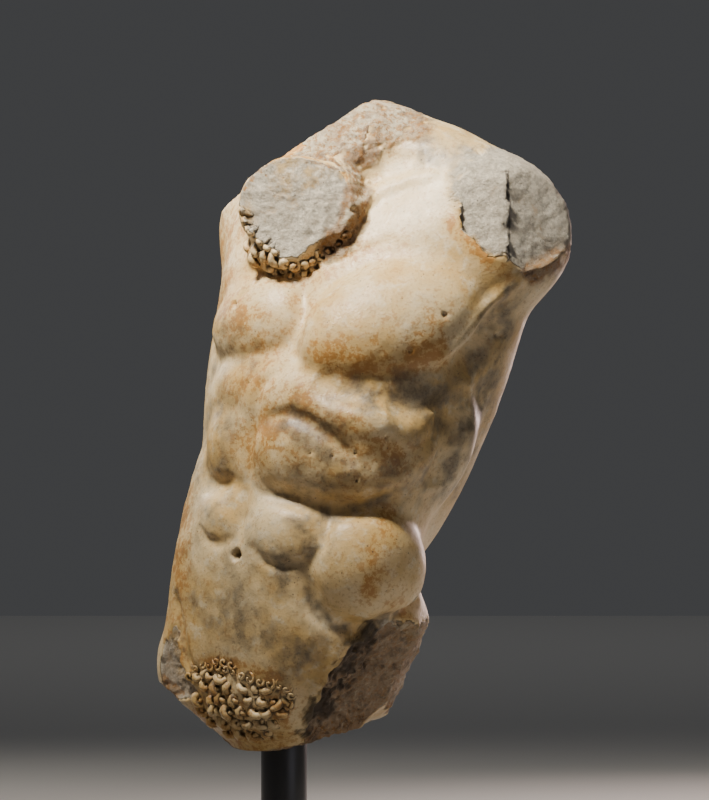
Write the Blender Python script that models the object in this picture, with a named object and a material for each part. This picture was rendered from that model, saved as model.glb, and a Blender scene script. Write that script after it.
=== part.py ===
"""A broken marble torso of a bearded man, held up by a round steel post on a low base plate.

The figure is laid out in parts of its own height: 648 parts make the carved stone's whole height,
so a part is a millimetre on the real torso. Parts run from the post's axis, where the stone is
lowest: across to the right, deep away from the viewer, and height upwards.
"""

import math
from collections import namedtuple

import bmesh
import bpy
import numpy as np
from mathutils import Euler, Matrix, Vector

# Driving sizes, in metres
TORSO_HEIGHT = 0.648
POST_DIAMETER = 0.046
POST_SHOWING = 0.140
POST_IN_STONE = 0.070
POST_IN_BASE = 0.020
POST_EDGE = 0.001
FIT_GAP = 0.0004
BASE_WIDTH = 0.400
BASE_DEPTH = 0.340
BASE_THICKNESS = 0.030
BASE_EDGE = 0.002

# Fineness of the meshes
TORSO_CELLS = (48, 34, 96)
TORSO_SHARE_KEPT = 0.127
POST_SIDES = 48
EDGE_STEPS = 2
CURL_STEPS = 6
LOCK_SIDES = 4

FIGURE_PARTS = 648
PART = TORSO_HEIGHT / FIGURE_PARTS
STONE_FOOT = BASE_THICKNESS + POST_SHOWING

# Colours, linear, from the photographed stone and steel
MARBLE = (0.62, 0.51, 0.36, 1.0)
STEEL = (0.045, 0.047, 0.05, 1.0)

# The trunk: height, across, deep, turn in degrees, half breadth, half depth before, half depth behind
TRUNK_LEVELS = np.array((
    (-20, -4, 5, 38, 50, 46, 46),
    (30, 0, 4, 38, 88, 66, 74),
    (70, 4, 2, 38, 112, 80, 90),
    (108, 8, 0, 38, 122, 86, 96),
    (148, 11, -2, 37, 128, 90, 96),
    (188, 15, -4, 38, 132, 94, 94),
    (228, 24, -5, 40, 134, 96, 94),
    (268, 36, -5, 44, 137, 101, 94),
    (308, 45, -5, 45, 145, 107, 98),
    (348, 53, -2, 42, 150, 110, 102),
    (388, 59, 6, 34, 147, 106, 104),
    (428, 65, 14, 28, 143, 101, 104),
    (468, 68, 22, 26, 138, 95, 100),
    (508, 74, 30, 26, 130, 86, 94),
    (548, 82, 38, 26, 112, 72, 82),
    (588, 88, 46, 26, 84, 54, 62),
), float)
TRUNK_TOP = 590
TRUNK_TOP_BLEND = 60

# Large masses: across, deep, height, then half sizes along their own axes, turn, tilt and blend
Mass = namedtuple("Mass", "name across deep height wide thick tall turn tilt blend")
MASSES = (
    Mass("left shoulder", 216, -26, 512, 71, 70, 74, 26, -4, 34),
    Mass("left shoulder top", 152, 14, 574, 94, 56, 52, 26, -24, 44),
    Mass("left latissimus", 174, -14, 348, 34, 52, 190, 34, -24, 26),
    Mass("right shoulder", -2, 88, 520, 66, 60, 76, 26, 0, 30),
    Mass("neck root", 40, 26, 572, 96, 62, 52, 8, 38, 18),
    Mass("nape", 90, 52, 600, 58, 50, 50, 0, 0, 30),
    Mass("beard", 18, -20, 540, 62, 64, 62, 15, 0, 10),
    Mass("left hip", 80, -14, 112, 66, 76, 70, 0, -20, 22),
    Mass("right hip", -60, 34, 82, 68, 74, 72, 0, 10, 22),
    Mass("left buttock", 70, 58, 100, 72, 58, 80, 38, 0, 26),
    Mass("right buttock", -18, 84, 100, 68, 56, 80, 38, 0, 26),
)

# Muscles: where their middle is seen, half sizes of their outline on the skin, slant above the
# horizontal, how far they stand proud, thickness and blend
Muscle = namedtuple("Muscle", "name across height long wide slant proud thick blend")
FRONT_MUSCLES = (
    Muscle("left breast", 102, 426, 96, 60, 24, 31, 46, 6),
    Muscle("left upper breast", 150, 486, 84, 56, 40, 15, 44, 16),
    Muscle("right breast", -30, 428, 56, 44, -6, 20, 34, 7),
    Muscle("right upper breast", -38, 486, 30, 56, 0, 8, 26, 14),
    Muscle("rib arch", 26, 352, 60, 30, -22, 9, 34, 12),
    Muscle("beard side", 70, 552, 26, 34, 0, 8, 24, 8),
    Muscle("second block left", 14, 292, 46, 38, -6, 12, 28, 7),
    Muscle("third block left", 4, 217, 40, 34, -8, 17, 30, 5),
    Muscle("first block right", -52, 366, 36, 24, 6, 8, 26, 8),
    Muscle("second block right", -62, 304, 25, 38, 0, 11, 26, 6),
    Muscle("third block right", -66, 234, 23, 27, 0, 13, 24, 5),
    Muscle("lower belly", -44, 138, 64, 66, 0, 8, 40, 24),
    Muscle("left flank roll", 88, 186, 58, 58, 16, 24, 44, 8),
    Muscle("right flank roll", -92, 180, 28, 66, 0, 5, 34, 12),
    Muscle("lower ribs left", 74, 276, 40, 28, 6, 10, 30, 8),
    Muscle("upper rib", 118, 316, 34, 11, 24, 3, 14, 10),
    Muscle("lower rib", 116, 278, 32, 11, 20, 3, 14, 10),
    Muscle("pubic mound", -39, 48, 50, 32, 0, 10, 32, 12),
)
BACK_MUSCLES = (
    Muscle("left shoulder blade", 150, 470, 56, 74, 10, 10, 44, 18),
    Muscle("right shoulder blade", 30, 470, 50, 74, -10, 10, 44, 18),
    Muscle("left spinal column muscle", 110, 290, 30, 130, 0, 10, 36, 12),
    Muscle("right spinal column muscle", 60, 290, 30, 130, 0, 10, 36, 12),
)

# Carved lines, as seen: the points they pass, how deep they go and half their width. A negative
# depth raises a ridge.
Line = namedtuple("Line", "name depth width points")
FRONT_LINES = (
    Line("breastbone", 5, 9, ((50, 520), (30, 490), (20, 452), (16, 410), (12, 380))),
    Line("white line", 5, 7, ((6, 384), (-24, 360), (-30, 325), (-34, 290), (-38, 258), (-42, 226), (-46, 200))),
    Line("rib edge", 6, 7, ((-16, 328), (6, 336), (28, 326), (48, 312), (64, 296), (70, 280))),
    Line("third block edge", 4, 5, ((-32, 210), (-22, 193), (0, 183), (24, 189), (40, 206), (46, 228), (40, 250))),
    Line("third block right edge", 4, 5, ((-84, 226), (-76, 211), (-62, 206), (-50, 212), (-44, 230))),
    Line("waist", 7, 10, ((-24, 262), (-2, 256), (20, 250), (48, 242), (76, 242), (100, 250), (118, 262))),
    Line("waist right", 5, 8, ((-34, 262), (-56, 266), (-78, 262))),
    Line("collar bone", -4, 8, ((71, 533), (92, 554), (125, 566), (156, 572))),
    Line("hollow over collar bone", 5, 16, ((95, 574), (116, 583), (140, 590))),
    Line("left breast top", 2, 9, ((26, 474), (70, 492), (116, 508))),
    Line("breast fold", -6, 6, ((146, 378), (168, 400), (192, 430), (218, 456), (246, 474))),
    Line("under the fold", 8, 14, ((160, 366), (190, 400), (214, 430))),
    Line("right breast crease", 2, 4, ((-46, 448), (-34, 458), (-22, 470))),
    Line("left groin", 5, 10, ((52, 124), (40, 100), (24, 70), (14, 34))),
    Line("right groin", 8, 6, ((-108, 160), (-105, 132), (-101, 108), (-94, 84), (-80, 70))),
    Line("navel", 10, 5, ((-46, 205), (-46, 193))),
    Line("flank roll edge", 3, 6, ((23, 178), (32, 142), (50, 130), (76, 128), (106, 138), (132, 158))),
)
BACK_LINES = (
    Line("spine", 6, 18, ((84, 560), (84, 470), (80, 380), (70, 290), (56, 210), (40, 150))),
    Line("cleft", 10, 12, ((36, 140), (32, 90), (28, 40))),
)

# Curls, as seen: the outline of the patch that they fill and how far apart they stand, then the
# places of those round the beard's broken face
CURL_SPACING = 12.5
CURL_RADIUS = 4.3
LOCK_RADIUS = 2.3
PUBIC_HAIR = (
    (-94, 76), (-80, 84), (-56, 82), (-34, 73), (0, 68), (14, 62), (8, 44), (2, 24), (-20, 12),
    (-58, 12), (-74, 28), (-88, 48),
)
BEARD_CURLS = (
    (-36, 546), (-38, 531), (-35, 516), (-27, 503), (-24, 515), (-17, 500), (-30, 491), (-11, 489),
    (-19, 481), (0, 482), (-7, 475), (13, 478), (9, 488), (24, 487), (34, 495), (45, 500), (55, 508),
    (22, 477), (-44, 522), (-42, 507),
)

# Broken faces: a point on each, the direction it faces, and the outline it has to the viewer, as
# places across and in height. One without an outline cuts right through.
Break = namedtuple("Break", "name point facing outline")
BREAKS = (
    Break("left shoulder inner", (221, -87, 530), (-0.15, -0.98, 0.12), (
        (158, 558), (166, 576), (186, 585), (221, 590), (221, 478), (201, 488), (181, 508), (161, 533),
    )),
    Break("left shoulder outer", (221, -87, 530), (0.55, -0.82, 0.15), (
        (221, 590), (246, 586), (264, 568), (280, 548), (294, 512), (276, 502), (256, 490), (241, 477),
        (221, 476),
    )),
    Break("neck front", (56, -14, 618), (-0.20, -0.74, 0.64), (
        (-60, 566), (60, 660), (110, 660), (146, 623), (131, 613), (116, 598), (101, 583), (68, 566),
        (16, 576), (-12, 570),
    )),
    Break("neck top", (-24, 0, 573), (-0.57, 0.05, 0.82), ()),
    Break("beard", (16, -64, 536), (-0.20, -0.95, 0.20), (
        (-29, 572), (-9, 583), (16, 586), (46, 578), (70, 570), (62, 553), (58, 533), (56, 516),
        (41, 503), (16, 489), (6, 495), (-12, 509), (-24, 523), (-33, 548),
    )),
    Break("left thigh", (61, -108, 108), (0.56, -0.59, -0.58), (
        (64, 114), (12, 8), (12, -40), (160, -40), (160, 160), (134, 158), (112, 132), (88, 122),
    )),
    Break("left thigh side", (127, 0, 98), (0.89, -0.1, -0.45), (
        (100, 170), (60, -20), (200, -20), (200, 170),
    )),
    Break("right thigh", (-108, -6, 88), (-0.72, -0.68, -0.15), (
        (-111, 160), (-106, 143), (-101, 108), (-94, 83), (-80, 60), (-170, 40), (-170, 160),
    )),
    Break("right thigh end", (-101, 0, 46), (-0.65, -0.05, -0.76), ()),
    Break("crotch", (-50, -30, 4), (-0.38, -0.15, -0.91), ()),
    Break("left thigh end", (106, 0, 30), (0.24, 0.0, -0.97), ()),
    Break("underside", (0, 0, 0), (0.0, 0.0, -1.0), ()),
)


def smooth_union(a, b, blend):
    overlap = np.maximum(blend - np.abs(a - b), 0) / blend
    return np.minimum(a, b) - overlap**2 * blend / 4


def smooth_curve(at, knots, rows):
    """The rows of a table at each place, on a smooth curve through them."""
    slopes = np.gradient(rows, knots, axis=0)
    i = np.clip(np.searchsorted(knots, at) - 1, 0, len(knots) - 2)
    span = (knots[i + 1] - knots[i])[:, None]
    t = np.clip((at - knots[i])[:, None] / span, 0, 1)
    return (
        (2 * t**3 - 3 * t**2 + 1) * rows[i]
        + (t**3 - 2 * t**2 + t) * span * slopes[i]
        + (3 * t**2 - 2 * t**3) * rows[i + 1]
        + (t**3 - t**2) * span * slopes[i + 1]
    )


def trunk(points):
    """Signed distance, about, from the trunk's skin: below zero inside."""
    rows = smooth_curve(points[:, 2], TRUNK_LEVELS[:, 0], TRUNK_LEVELS[:, 1:])
    across, deep, turn, breadth, before, behind = rows.T
    turn = np.radians(turn)
    x, y = points[:, 0] - across, points[:, 1] - deep
    lateral = x * np.cos(turn) - y * np.sin(turn)
    forward = -x * np.sin(turn) - y * np.cos(turn)
    depth = np.where(forward > 0, before, behind)
    share = np.hypot(lateral / breadth, forward / depth)
    slope = np.hypot(lateral / breadth**2, forward / depth**2)
    wall = share * (share - 1) / np.maximum(slope, 1e-6)
    wall = -smooth_union(-wall, TRUNK_TOP - points[:, 2], TRUNK_TOP_BLEND)
    return np.maximum(wall, -5 - points[:, 2])


def ellipsoid(points, centre, axes, sizes):
    local = (points - centre) @ np.transpose(axes)
    share = np.linalg.norm(local / sizes, axis=1)
    slope = np.linalg.norm(local / np.square(sizes), axis=1)
    return share * (share - 1) / np.maximum(slope, 1e-9)


def add_ellipsoid(points, distance, centre, axes, sizes, blend):
    """The distances with one more ellipsoid melted in, worked out only for points near it."""
    near = np.linalg.norm(points - centre, axis=1) < max(sizes) + 2 * blend
    added = ellipsoid(points[near], centre, axes, sizes)
    distance[near] = smooth_union(distance[near], added, blend)


def masses(points):
    distance = trunk(points)
    for mass in MASSES:
        angles = (0, -math.radians(mass.tilt), -math.radians(mass.turn))
        axes = np.array(Euler(angles).to_matrix().transposed())
        centre = (mass.across, mass.deep, mass.height)
        sizes = (mass.wide, mass.thick, mass.tall)
        add_ellipsoid(points, distance, centre, axes, sizes, mass.blend)
    return distance


def seat(field, across, height, side, reach=320, step=1.0):
    """The point and outward normal where a line straight in first meets the field's skin."""
    deep = side * np.arange(reach, -reach, -step)
    line = np.column_stack((np.full_like(deep, across), deep, np.full_like(deep, height)))
    inside = field(line) < 0
    if not inside.any():
        raise ValueError(f"nothing of the figure lies at {across}, {height}")
    point = line[np.argmax(inside)]
    nudge = np.eye(3) * 2
    slope = field(point + nudge) - field(point - nudge)
    return point, slope / np.linalg.norm(slope)


def seated_axes(normal, slant):
    """A muscle's axes along, out of and across the skin, its slant as the viewer sees it."""
    angle = math.radians(slant)
    along = np.array((math.cos(angle), 0, math.sin(angle)))
    along -= along @ normal * normal
    along /= np.linalg.norm(along)
    return np.array((along, normal, np.cross(along, normal)))


def seated_muscles():
    """Centre, axes, half sizes and blend of every muscle, set into the skin of the masses."""
    found = []
    for side, muscles in ((-1, FRONT_MUSCLES), (1, BACK_MUSCLES)):
        for muscle in muscles:
            point, normal = seat(masses, muscle.across, muscle.height, side)
            sunk = muscle.thick - muscle.proud
            spread = 1 / math.sqrt(1 - (sunk / muscle.thick) ** 2)
            sizes = (muscle.long * spread, muscle.thick, muscle.wide * spread)
            axes = seated_axes(normal, muscle.slant)
            found.append((point - normal * sunk, axes, sizes, muscle.blend))
    return found


def fleshed(points, muscles):
    distance = masses(points)
    for centre, axes, sizes, blend in muscles:
        add_ellipsoid(points, distance, centre, axes, sizes, blend)
    return distance


def seated_lines(muscles):
    """Depth, width and points in space of every carved line, set on the skin of the muscles."""
    found = []
    for side, lines in ((-1, FRONT_LINES), (1, BACK_LINES)):
        for line in lines:
            points = [
                seat(lambda at: fleshed(at, muscles), across, height, side)[0]
                for across, height in line.points
            ]
            found.append((line.depth, line.width, np.array(points)))
    return found


def carve(points, distance, depth, width, path):
    """The distances with a line of that depth carved along the path, fading out at its ends."""
    low, high = path.min(axis=0) - 3 * width, path.max(axis=0) + 3 * width
    near = np.flatnonzero(((points > low) & (points < high)).all(axis=1))
    steps = np.linalg.norm(np.diff(path, axis=0), axis=1)
    length = steps.sum()
    nearest = np.full(len(near), np.inf)
    run = np.zeros(len(near))
    for start, end, step, before in zip(path, path[1:], steps, np.cumsum(steps) - steps):
        reach = points[near] - start
        t = np.clip(reach @ (end - start) / step**2, 0, 1)
        away = np.linalg.norm(reach - t[:, None] * (end - start), axis=1)
        closer = away < nearest
        nearest[closer] = away[closer]
        run[closer] = (before + t * step)[closer] / length
    fade = 1 - np.abs(2 * run - 1) ** 4
    distance[near] += depth * fade * np.exp(-((nearest / width) ** 2))


def skin(points, muscles, lines):
    distance = fleshed(points, muscles)
    for depth, width, path in lines:
        carve(points, distance, depth, width, path)
    return distance


# The core line that the stone's mesh is blown out from
CORE_LOW = 112
CORE_HIGH = 520
CORE_TURN = math.radians(32)
CELL_BOX = (150, 110, 128)
FARTHEST = 330
MARCH = 6.0
HALVINGS = 10
CUTTER_REACH = 400


def core_rays(cells):
    """Start and direction of a ray out of the body's core for each point of the cell box."""
    levels = TRUNK_LEVELS[:, 0]
    height = np.interp(cells[:, 2], (-1, 1), (CORE_LOW - CELL_BOX[2], CORE_HIGH + CELL_BOX[2]))
    at = np.clip(height, CORE_LOW, CORE_HIGH)
    rows = smooth_curve(at, levels, TRUNK_LEVELS[:, 1:])
    starts = np.column_stack((rows[:, 0], rows[:, 1], at))
    side = np.array((math.cos(CORE_TURN), -math.sin(CORE_TURN), 0))
    back = np.array((math.sin(CORE_TURN), math.cos(CORE_TURN), 0))
    offset = cells[:, :1] * CELL_BOX[0] * side + cells[:, 1:2] * CELL_BOX[1] * back
    offset[:, 2] = height - at
    return starts, offset / np.linalg.norm(offset, axis=1)[:, None]


def outermost(field, starts, directions):
    """The farthest point on each ray that lies on the field's skin."""
    distances = np.arange(FARTHEST, 0, -MARCH)
    samples = starts[:, None] + distances[:, None] * directions[:, None]
    inside = field(samples.reshape(-1, 3)).reshape(len(starts), -1) < 0
    outer = distances[np.argmax(inside, axis=1)]
    low, high = outer, outer + MARCH
    for _ in range(HALVINGS):
        middle = (low + high) / 2
        within = field(starts + middle[:, None] * directions) < 0
        low, high = np.where(within, middle, low), np.where(within, high, middle)
    return starts + low[:, None] * directions


def cell_box(counts):
    """A cube whose faces are cut into cells, so many along each axis."""
    cells = bmesh.new()
    bmesh.ops.create_cube(cells, size=2)
    for axis, count in enumerate(counts):
        along = [
            edge for edge in cells.edges
            if abs(edge.verts[0].co[axis] - edge.verts[1].co[axis]) > 1
        ]
        bmesh.ops.subdivide_edges(cells, edges=along, cuts=count - 1, use_grid_fill=True)
    return cells


def collection_named(name):
    made = bpy.data.collections.new(name)
    bpy.context.scene.collection.children.link(made)
    return made


def object_from(bm, name, collection):
    mesh = bpy.data.meshes.new(name)
    bm.to_mesh(mesh)
    bm.free()
    made = bpy.data.objects.new(name, mesh)
    collection.objects.link(made)
    return made


def plain_material(name, colour, roughness, metallic=0.0):
    material = bpy.data.materials.new(name)
    material.use_nodes = True
    shader = material.node_tree.nodes["Principled BSDF"]
    shader.inputs["Base Color"].default_value = colour
    shader.inputs["Roughness"].default_value = roughness
    shader.inputs["Metallic"].default_value = metallic
    return material


def break_cutter(one, collection):
    """A block that takes off whatever lies beyond a broken face, within its outline to the viewer."""
    block = bmesh.new()
    facing = Vector(one.facing).normalized()
    if one.outline:
        bmesh.ops.create_circle(block, cap_ends=True, segments=len(one.outline), radius=1)
        block.verts.ensure_lookup_table()
        for vertex, (across, height) in zip(block.verts, one.outline):
            slide = facing.x * (across - one.point[0]) + facing.z * (height - one.point[2])
            vertex.co = Vector((across, one.point[1] - slide / facing.y, height)) * PART
        grown = bmesh.ops.extrude_face_region(block, geom=block.faces[:])["geom"]
        moved = [item for item in grown if isinstance(item, bmesh.types.BMVert)]
        bmesh.ops.translate(block, verts=moved, vec=Vector((0, -CUTTER_REACH, 0)) * PART)
        for vertex in moved:
            vertex.co.y = -CUTTER_REACH * PART
    else:
        bmesh.ops.create_cube(block, size=2 * CUTTER_REACH * PART)
        bmesh.ops.translate(block, verts=block.verts, vec=(0, 0, CUTTER_REACH * PART))
        bmesh.ops.rotate(block, verts=block.verts, matrix=facing.to_track_quat("Z", "Y").to_matrix())
        bmesh.ops.translate(block, verts=block.verts, vec=Vector(one.point) * PART)
    bmesh.ops.recalc_face_normals(block, faces=block.faces)
    cutter = object_from(block, one.name + " cutter", collection)
    cutter.location.z = STONE_FOOT
    cutter.hide_render = True
    cutter.display_type = "WIRE"
    return cutter


def boolean_with(target, other, operation, solver="EXACT"):
    boolean = target.modifiers.new(other.name, "BOOLEAN")
    boolean.operation = operation
    boolean.solver = solver
    boolean.object = other


def inside_outline(across, height, outline):
    """Whether a place lies within an outline: a line out of it crosses the outline an odd number of times."""
    crossings = 0
    for (x0, z0), (x1, z1) in zip(outline, outline[1:] + outline[:1]):
        if (z0 > height) != (z1 > height) and across < x0 + (height - z0) * (x1 - x0) / (z1 - z0):
            crossings += 1
    return crossings % 2 == 1


def pubic_curl_places():
    """Rows of places, each row shifted by half a step, that lie inside the patch of hair."""
    row_height = CURL_SPACING * math.sqrt(3) / 2
    low = min(height for _, height in PUBIC_HAIR)
    high = max(height for _, height in PUBIC_HAIR)
    left = min(across for across, _ in PUBIC_HAIR)
    right = max(across for across, _ in PUBIC_HAIR)
    places = []
    for row in range(int((high - low) / row_height) + 1):
        height = low + (row + 0.5) * row_height
        shift = CURL_SPACING / 2 * (row % 2)
        for step in range(int((right - left) / CURL_SPACING) + 1):
            place = (left + shift + step * CURL_SPACING, height)
            if inside_outline(*place, PUBIC_HAIR):
                places.append(place)
    return places


def curls(field, collection):
    """Ring curls of hair, each set into the skin and turned its own way."""
    hair = bmesh.new()
    for number, (across, height) in enumerate(pubic_curl_places() + list(BEARD_CURLS)):
        point, normal = seat(field, across, height, -1)
        ring = bmesh.ops.create_circle(hair, segments=LOCK_SIDES, radius=LOCK_RADIUS * PART)
        bmesh.ops.rotate(hair, verts=ring["verts"], matrix=Matrix.Rotation(math.pi / 2, 3, "X"))
        bmesh.ops.translate(hair, verts=ring["verts"], vec=(CURL_RADIUS * PART, 0, 0))
        edges = list({edge for vertex in ring["verts"] for edge in vertex.link_edges})
        before = set(hair.verts) - set(ring["verts"])
        bmesh.ops.spin(
            hair, geom=ring["verts"] + edges, cent=(0, 0, 0), axis=(0, 0, 1), dvec=(0, 0, 0),
            angle=2 * math.pi, steps=CURL_STEPS, use_merge=True,
        )
        made = [vertex for vertex in hair.verts if vertex not in before]
        lean = Euler((0.35 * math.sin(number * 2.4), 0.35 * math.cos(number * 1.7), number * 2.4))
        upright = Vector(normal).to_track_quat("Z", "Y").to_matrix() @ lean.to_matrix()
        bmesh.ops.transform(hair, matrix=upright.to_4x4(), verts=made, space=Matrix.Identity(4))
        bmesh.ops.translate(hair, verts=made, vec=Vector(point) * PART)
    bmesh.ops.recalc_face_normals(hair, faces=hair.faces)
    made = object_from(hair, "curls of hair", collection)
    made.location.z = STONE_FOOT
    made.hide_render = True
    made.display_type = "WIRE"
    return made


def post_hole(name, low, high, collection):
    """A round hole on the post's axis, with room for the post."""
    hole = bmesh.new()
    radius = POST_DIAMETER / 2 + FIT_GAP
    bmesh.ops.create_cone(
        hole, cap_ends=True, segments=POST_SIDES, radius1=radius, radius2=radius, depth=high - low,
    )
    bmesh.ops.translate(hole, verts=hole.verts, vec=(0, 0, (low + high) / 2))
    made = object_from(hole, name, collection)
    made.hide_render = True
    made.display_type = "WIRE"
    return made


def bevel_level_edges(bm, heights, width):
    """Bevels the edges that lie flat at any of those heights."""
    edges = [
        edge for edge in bm.edges
        if any(all(abs(vertex.co.z - height) < 1e-6 for vertex in edge.verts) for height in heights)
    ]
    bmesh.ops.bevel(
        bm, geom=edges, offset=width, offset_type="OFFSET", segments=EDGE_STEPS, profile=0.5,
        affect="EDGES", material=-1,
    )


def mounting_post(collection):
    low = BASE_THICKNESS - POST_IN_BASE + FIT_GAP
    high = STONE_FOOT + POST_IN_STONE - FIT_GAP
    rod = bmesh.new()
    bmesh.ops.create_cone(
        rod, cap_ends=True, segments=POST_SIDES, radius1=POST_DIAMETER / 2, radius2=POST_DIAMETER / 2,
        depth=high - low,
    )
    bmesh.ops.translate(rod, verts=rod.verts, vec=(0, 0, (low + high) / 2))
    bevel_level_edges(rod, (low, high), POST_EDGE)
    post = object_from(rod, "mounting_post", collection)
    post.data.materials.append(plain_material("satin steel", STEEL, 0.35, 1.0))
    post.data.shade_smooth()
    post.data.set_sharp_from_angle(angle=math.radians(30))
    return post


def base_plate(collection, helpers):
    slab = bmesh.new()
    bmesh.ops.create_cube(slab, size=1)
    bmesh.ops.scale(slab, verts=slab.verts, vec=(BASE_WIDTH, BASE_DEPTH, BASE_THICKNESS))
    bmesh.ops.translate(slab, verts=slab.verts, vec=(0, 0, BASE_THICKNESS / 2))
    bmesh.ops.bevel(
        slab, geom=slab.edges[:], offset=BASE_EDGE, offset_type="OFFSET", segments=EDGE_STEPS,
        profile=0.5, affect="EDGES", material=-1,
    )
    plate = object_from(slab, "base_plate", collection)
    plate.data.materials.append(plain_material("blackened steel", STEEL, 0.45, 1.0))
    hole = post_hole("base hole", BASE_THICKNESS - POST_IN_BASE, BASE_THICKNESS + 0.01, helpers)
    boolean_with(plate, hole, "DIFFERENCE")
    return plate


def carved_stone(collection, helpers):
    muscles = seated_muscles()
    lines = seated_lines(muscles)
    cells = cell_box(TORSO_CELLS)
    places = np.array([vertex.co for vertex in cells.verts])
    starts, directions = core_rays(places)
    carved = outermost(lambda points: skin(points, muscles, lines), starts, directions)
    for vertex, place in zip(cells.verts, carved):
        vertex.co = place * PART
    bmesh.ops.recalc_face_normals(cells, faces=cells.faces)
    torso = object_from(cells, "marble_torso", collection)
    torso.location.z = STONE_FOOT
    thinned = torso.modifiers.new("thinned where smooth", "DECIMATE")
    thinned.ratio = TORSO_SHARE_KEPT
    torso.data.materials.append(plain_material("marble", MARBLE, 0.55))
    # The exact solver leaves open edges on this fine a skin, so these cuts use the manifold one
    hair = curls(lambda at: skin(at, muscles, lines), helpers)
    boolean_with(torso, hair, "UNION", "MANIFOLD")
    for one in BREAKS:
        boolean_with(torso, break_cutter(one, helpers), "DIFFERENCE", "MANIFOLD")
    socket = post_hole("stone hole", STONE_FOOT - 0.05, STONE_FOOT + POST_IN_STONE, helpers)
    boolean_with(torso, socket, "DIFFERENCE", "MANIFOLD")
    torso.data.shade_smooth()
    return torso


def main():
    for old in list(bpy.data.objects):
        bpy.data.objects.remove(old)
    statue = collection_named("marsyas statue")
    helpers = collection_named("cutters")
    helpers.hide_render = True
    carved_stone(statue, helpers)
    mounting_post(statue)
    base_plate(statue, helpers)


main()
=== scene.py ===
"""The looks of a broken marble torso on a steel post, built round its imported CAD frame.

The torso is laid out in parts of its own height, as the CAD solid is: 648 parts make the carved
stone's whole height, and a part is a millimetre. Places run from the post's axis, where the stone
is lowest: across to the right, deep away from the viewer, and height upwards.
"""

import itertools
import math
import random
from collections import namedtuple

import bmesh
import bpy
import numpy as np
from mathutils import Euler, Matrix, Vector
from mathutils.bvhtree import BVHTree
from mathutils.kdtree import KDTree


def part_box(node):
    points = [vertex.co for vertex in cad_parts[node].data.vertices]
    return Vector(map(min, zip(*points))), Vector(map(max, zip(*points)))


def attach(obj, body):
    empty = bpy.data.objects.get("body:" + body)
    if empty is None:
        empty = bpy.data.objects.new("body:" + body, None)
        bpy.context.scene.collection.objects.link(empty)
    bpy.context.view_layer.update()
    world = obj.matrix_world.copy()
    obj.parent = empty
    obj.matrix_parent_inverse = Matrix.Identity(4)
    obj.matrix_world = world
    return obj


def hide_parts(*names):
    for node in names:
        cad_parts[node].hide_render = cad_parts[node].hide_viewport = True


bl_info = {
    "name": "Broken marble torso",
    "version": (1, 0, 0),
    "blender": (4, 5, 0),
    "location": "3D View > Sidebar > Torso",
    "description": "Builds a weathered marble torso on its steel post and plate",
    "category": "Add Mesh",
}

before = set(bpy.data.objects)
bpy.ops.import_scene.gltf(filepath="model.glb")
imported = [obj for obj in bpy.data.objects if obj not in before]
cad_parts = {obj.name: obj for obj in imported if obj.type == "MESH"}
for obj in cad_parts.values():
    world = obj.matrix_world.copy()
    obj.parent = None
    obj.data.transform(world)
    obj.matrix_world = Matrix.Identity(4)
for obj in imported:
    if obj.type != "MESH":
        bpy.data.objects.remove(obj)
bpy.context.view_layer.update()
TORSO_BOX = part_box("marble_torso")
POST_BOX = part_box("mounting_post")
PLATE_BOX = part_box("base_plate")

# A part of the torso's layout in metres, and the height of the stone's lowest point
PART = 0.001
STONE_FOOT = TORSO_BOX[0].z

# The trunk: height, across, deep, turn in degrees, half breadth, half depth before, half depth behind
TRUNK_LEVELS = np.array((
    (-20, -4, 5, 38, 50, 46, 46),
    (30, 0, 4, 38, 88, 66, 74),
    (70, 4, 2, 38, 112, 80, 90),
    (108, 8, 0, 38, 122, 86, 96),
    (148, 11, -2, 37, 128, 90, 96),
    (188, 15, -4, 38, 132, 94, 94),
    (228, 24, -5, 40, 134, 96, 94),
    (268, 36, -5, 44, 137, 101, 94),
    (308, 45, -5, 45, 145, 107, 98),
    (348, 53, -2, 42, 150, 110, 102),
    (388, 59, 6, 34, 147, 106, 104),
    (428, 65, 14, 28, 143, 101, 104),
    (468, 68, 22, 26, 138, 95, 100),
    (508, 74, 30, 26, 130, 86, 94),
    (548, 82, 38, 26, 112, 72, 82),
    (588, 88, 46, 26, 84, 54, 62),
), float)

# Where the trunk ends above and below, and over what height it rounds off above
TRUNK_TOP = 590
TRUNK_FOOT = -5
TRUNK_TOP_BLEND = 60

# Large masses: across, deep, height, then half sizes along their own axes, turn, tilt and blend
Mass = namedtuple("Mass", "name across deep height wide thick tall turn tilt blend")
MASSES = (
    Mass("left shoulder", 216, -26, 512, 71, 70, 74, 26, -4, 34),
    Mass("left shoulder top", 152, 14, 574, 94, 56, 52, 26, -24, 44),
    Mass("left latissimus", 174, -14, 348, 34, 52, 190, 34, -24, 26),
    Mass("left flank", 158, -58, 302, 24, 36, 66, 40, -24, 20),
    Mass("right shoulder", -2, 88, 520, 66, 60, 76, 26, 0, 30),
    Mass("neck root", 40, 26, 572, 96, 62, 52, 8, 38, 18),
    Mass("nape", 90, 52, 596, 58, 50, 50, 0, 0, 30),
    Mass("beard", 17, -20, 539, 60, 84, 53, 15, 0, 10),
    Mass("beard tip", 8, -34, 494, 44, 34, 20, 15, 0, 8),
    Mass("left hip", 80, -14, 112, 66, 76, 70, 0, -20, 22),
    Mass("right hip", -60, 34, 82, 68, 74, 72, 0, 10, 22),
    Mass("left buttock", 70, 58, 100, 72, 58, 80, 38, 0, 26),
    Mass("right buttock", -18, 84, 100, 68, 56, 80, 38, 0, 26),
)

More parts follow.
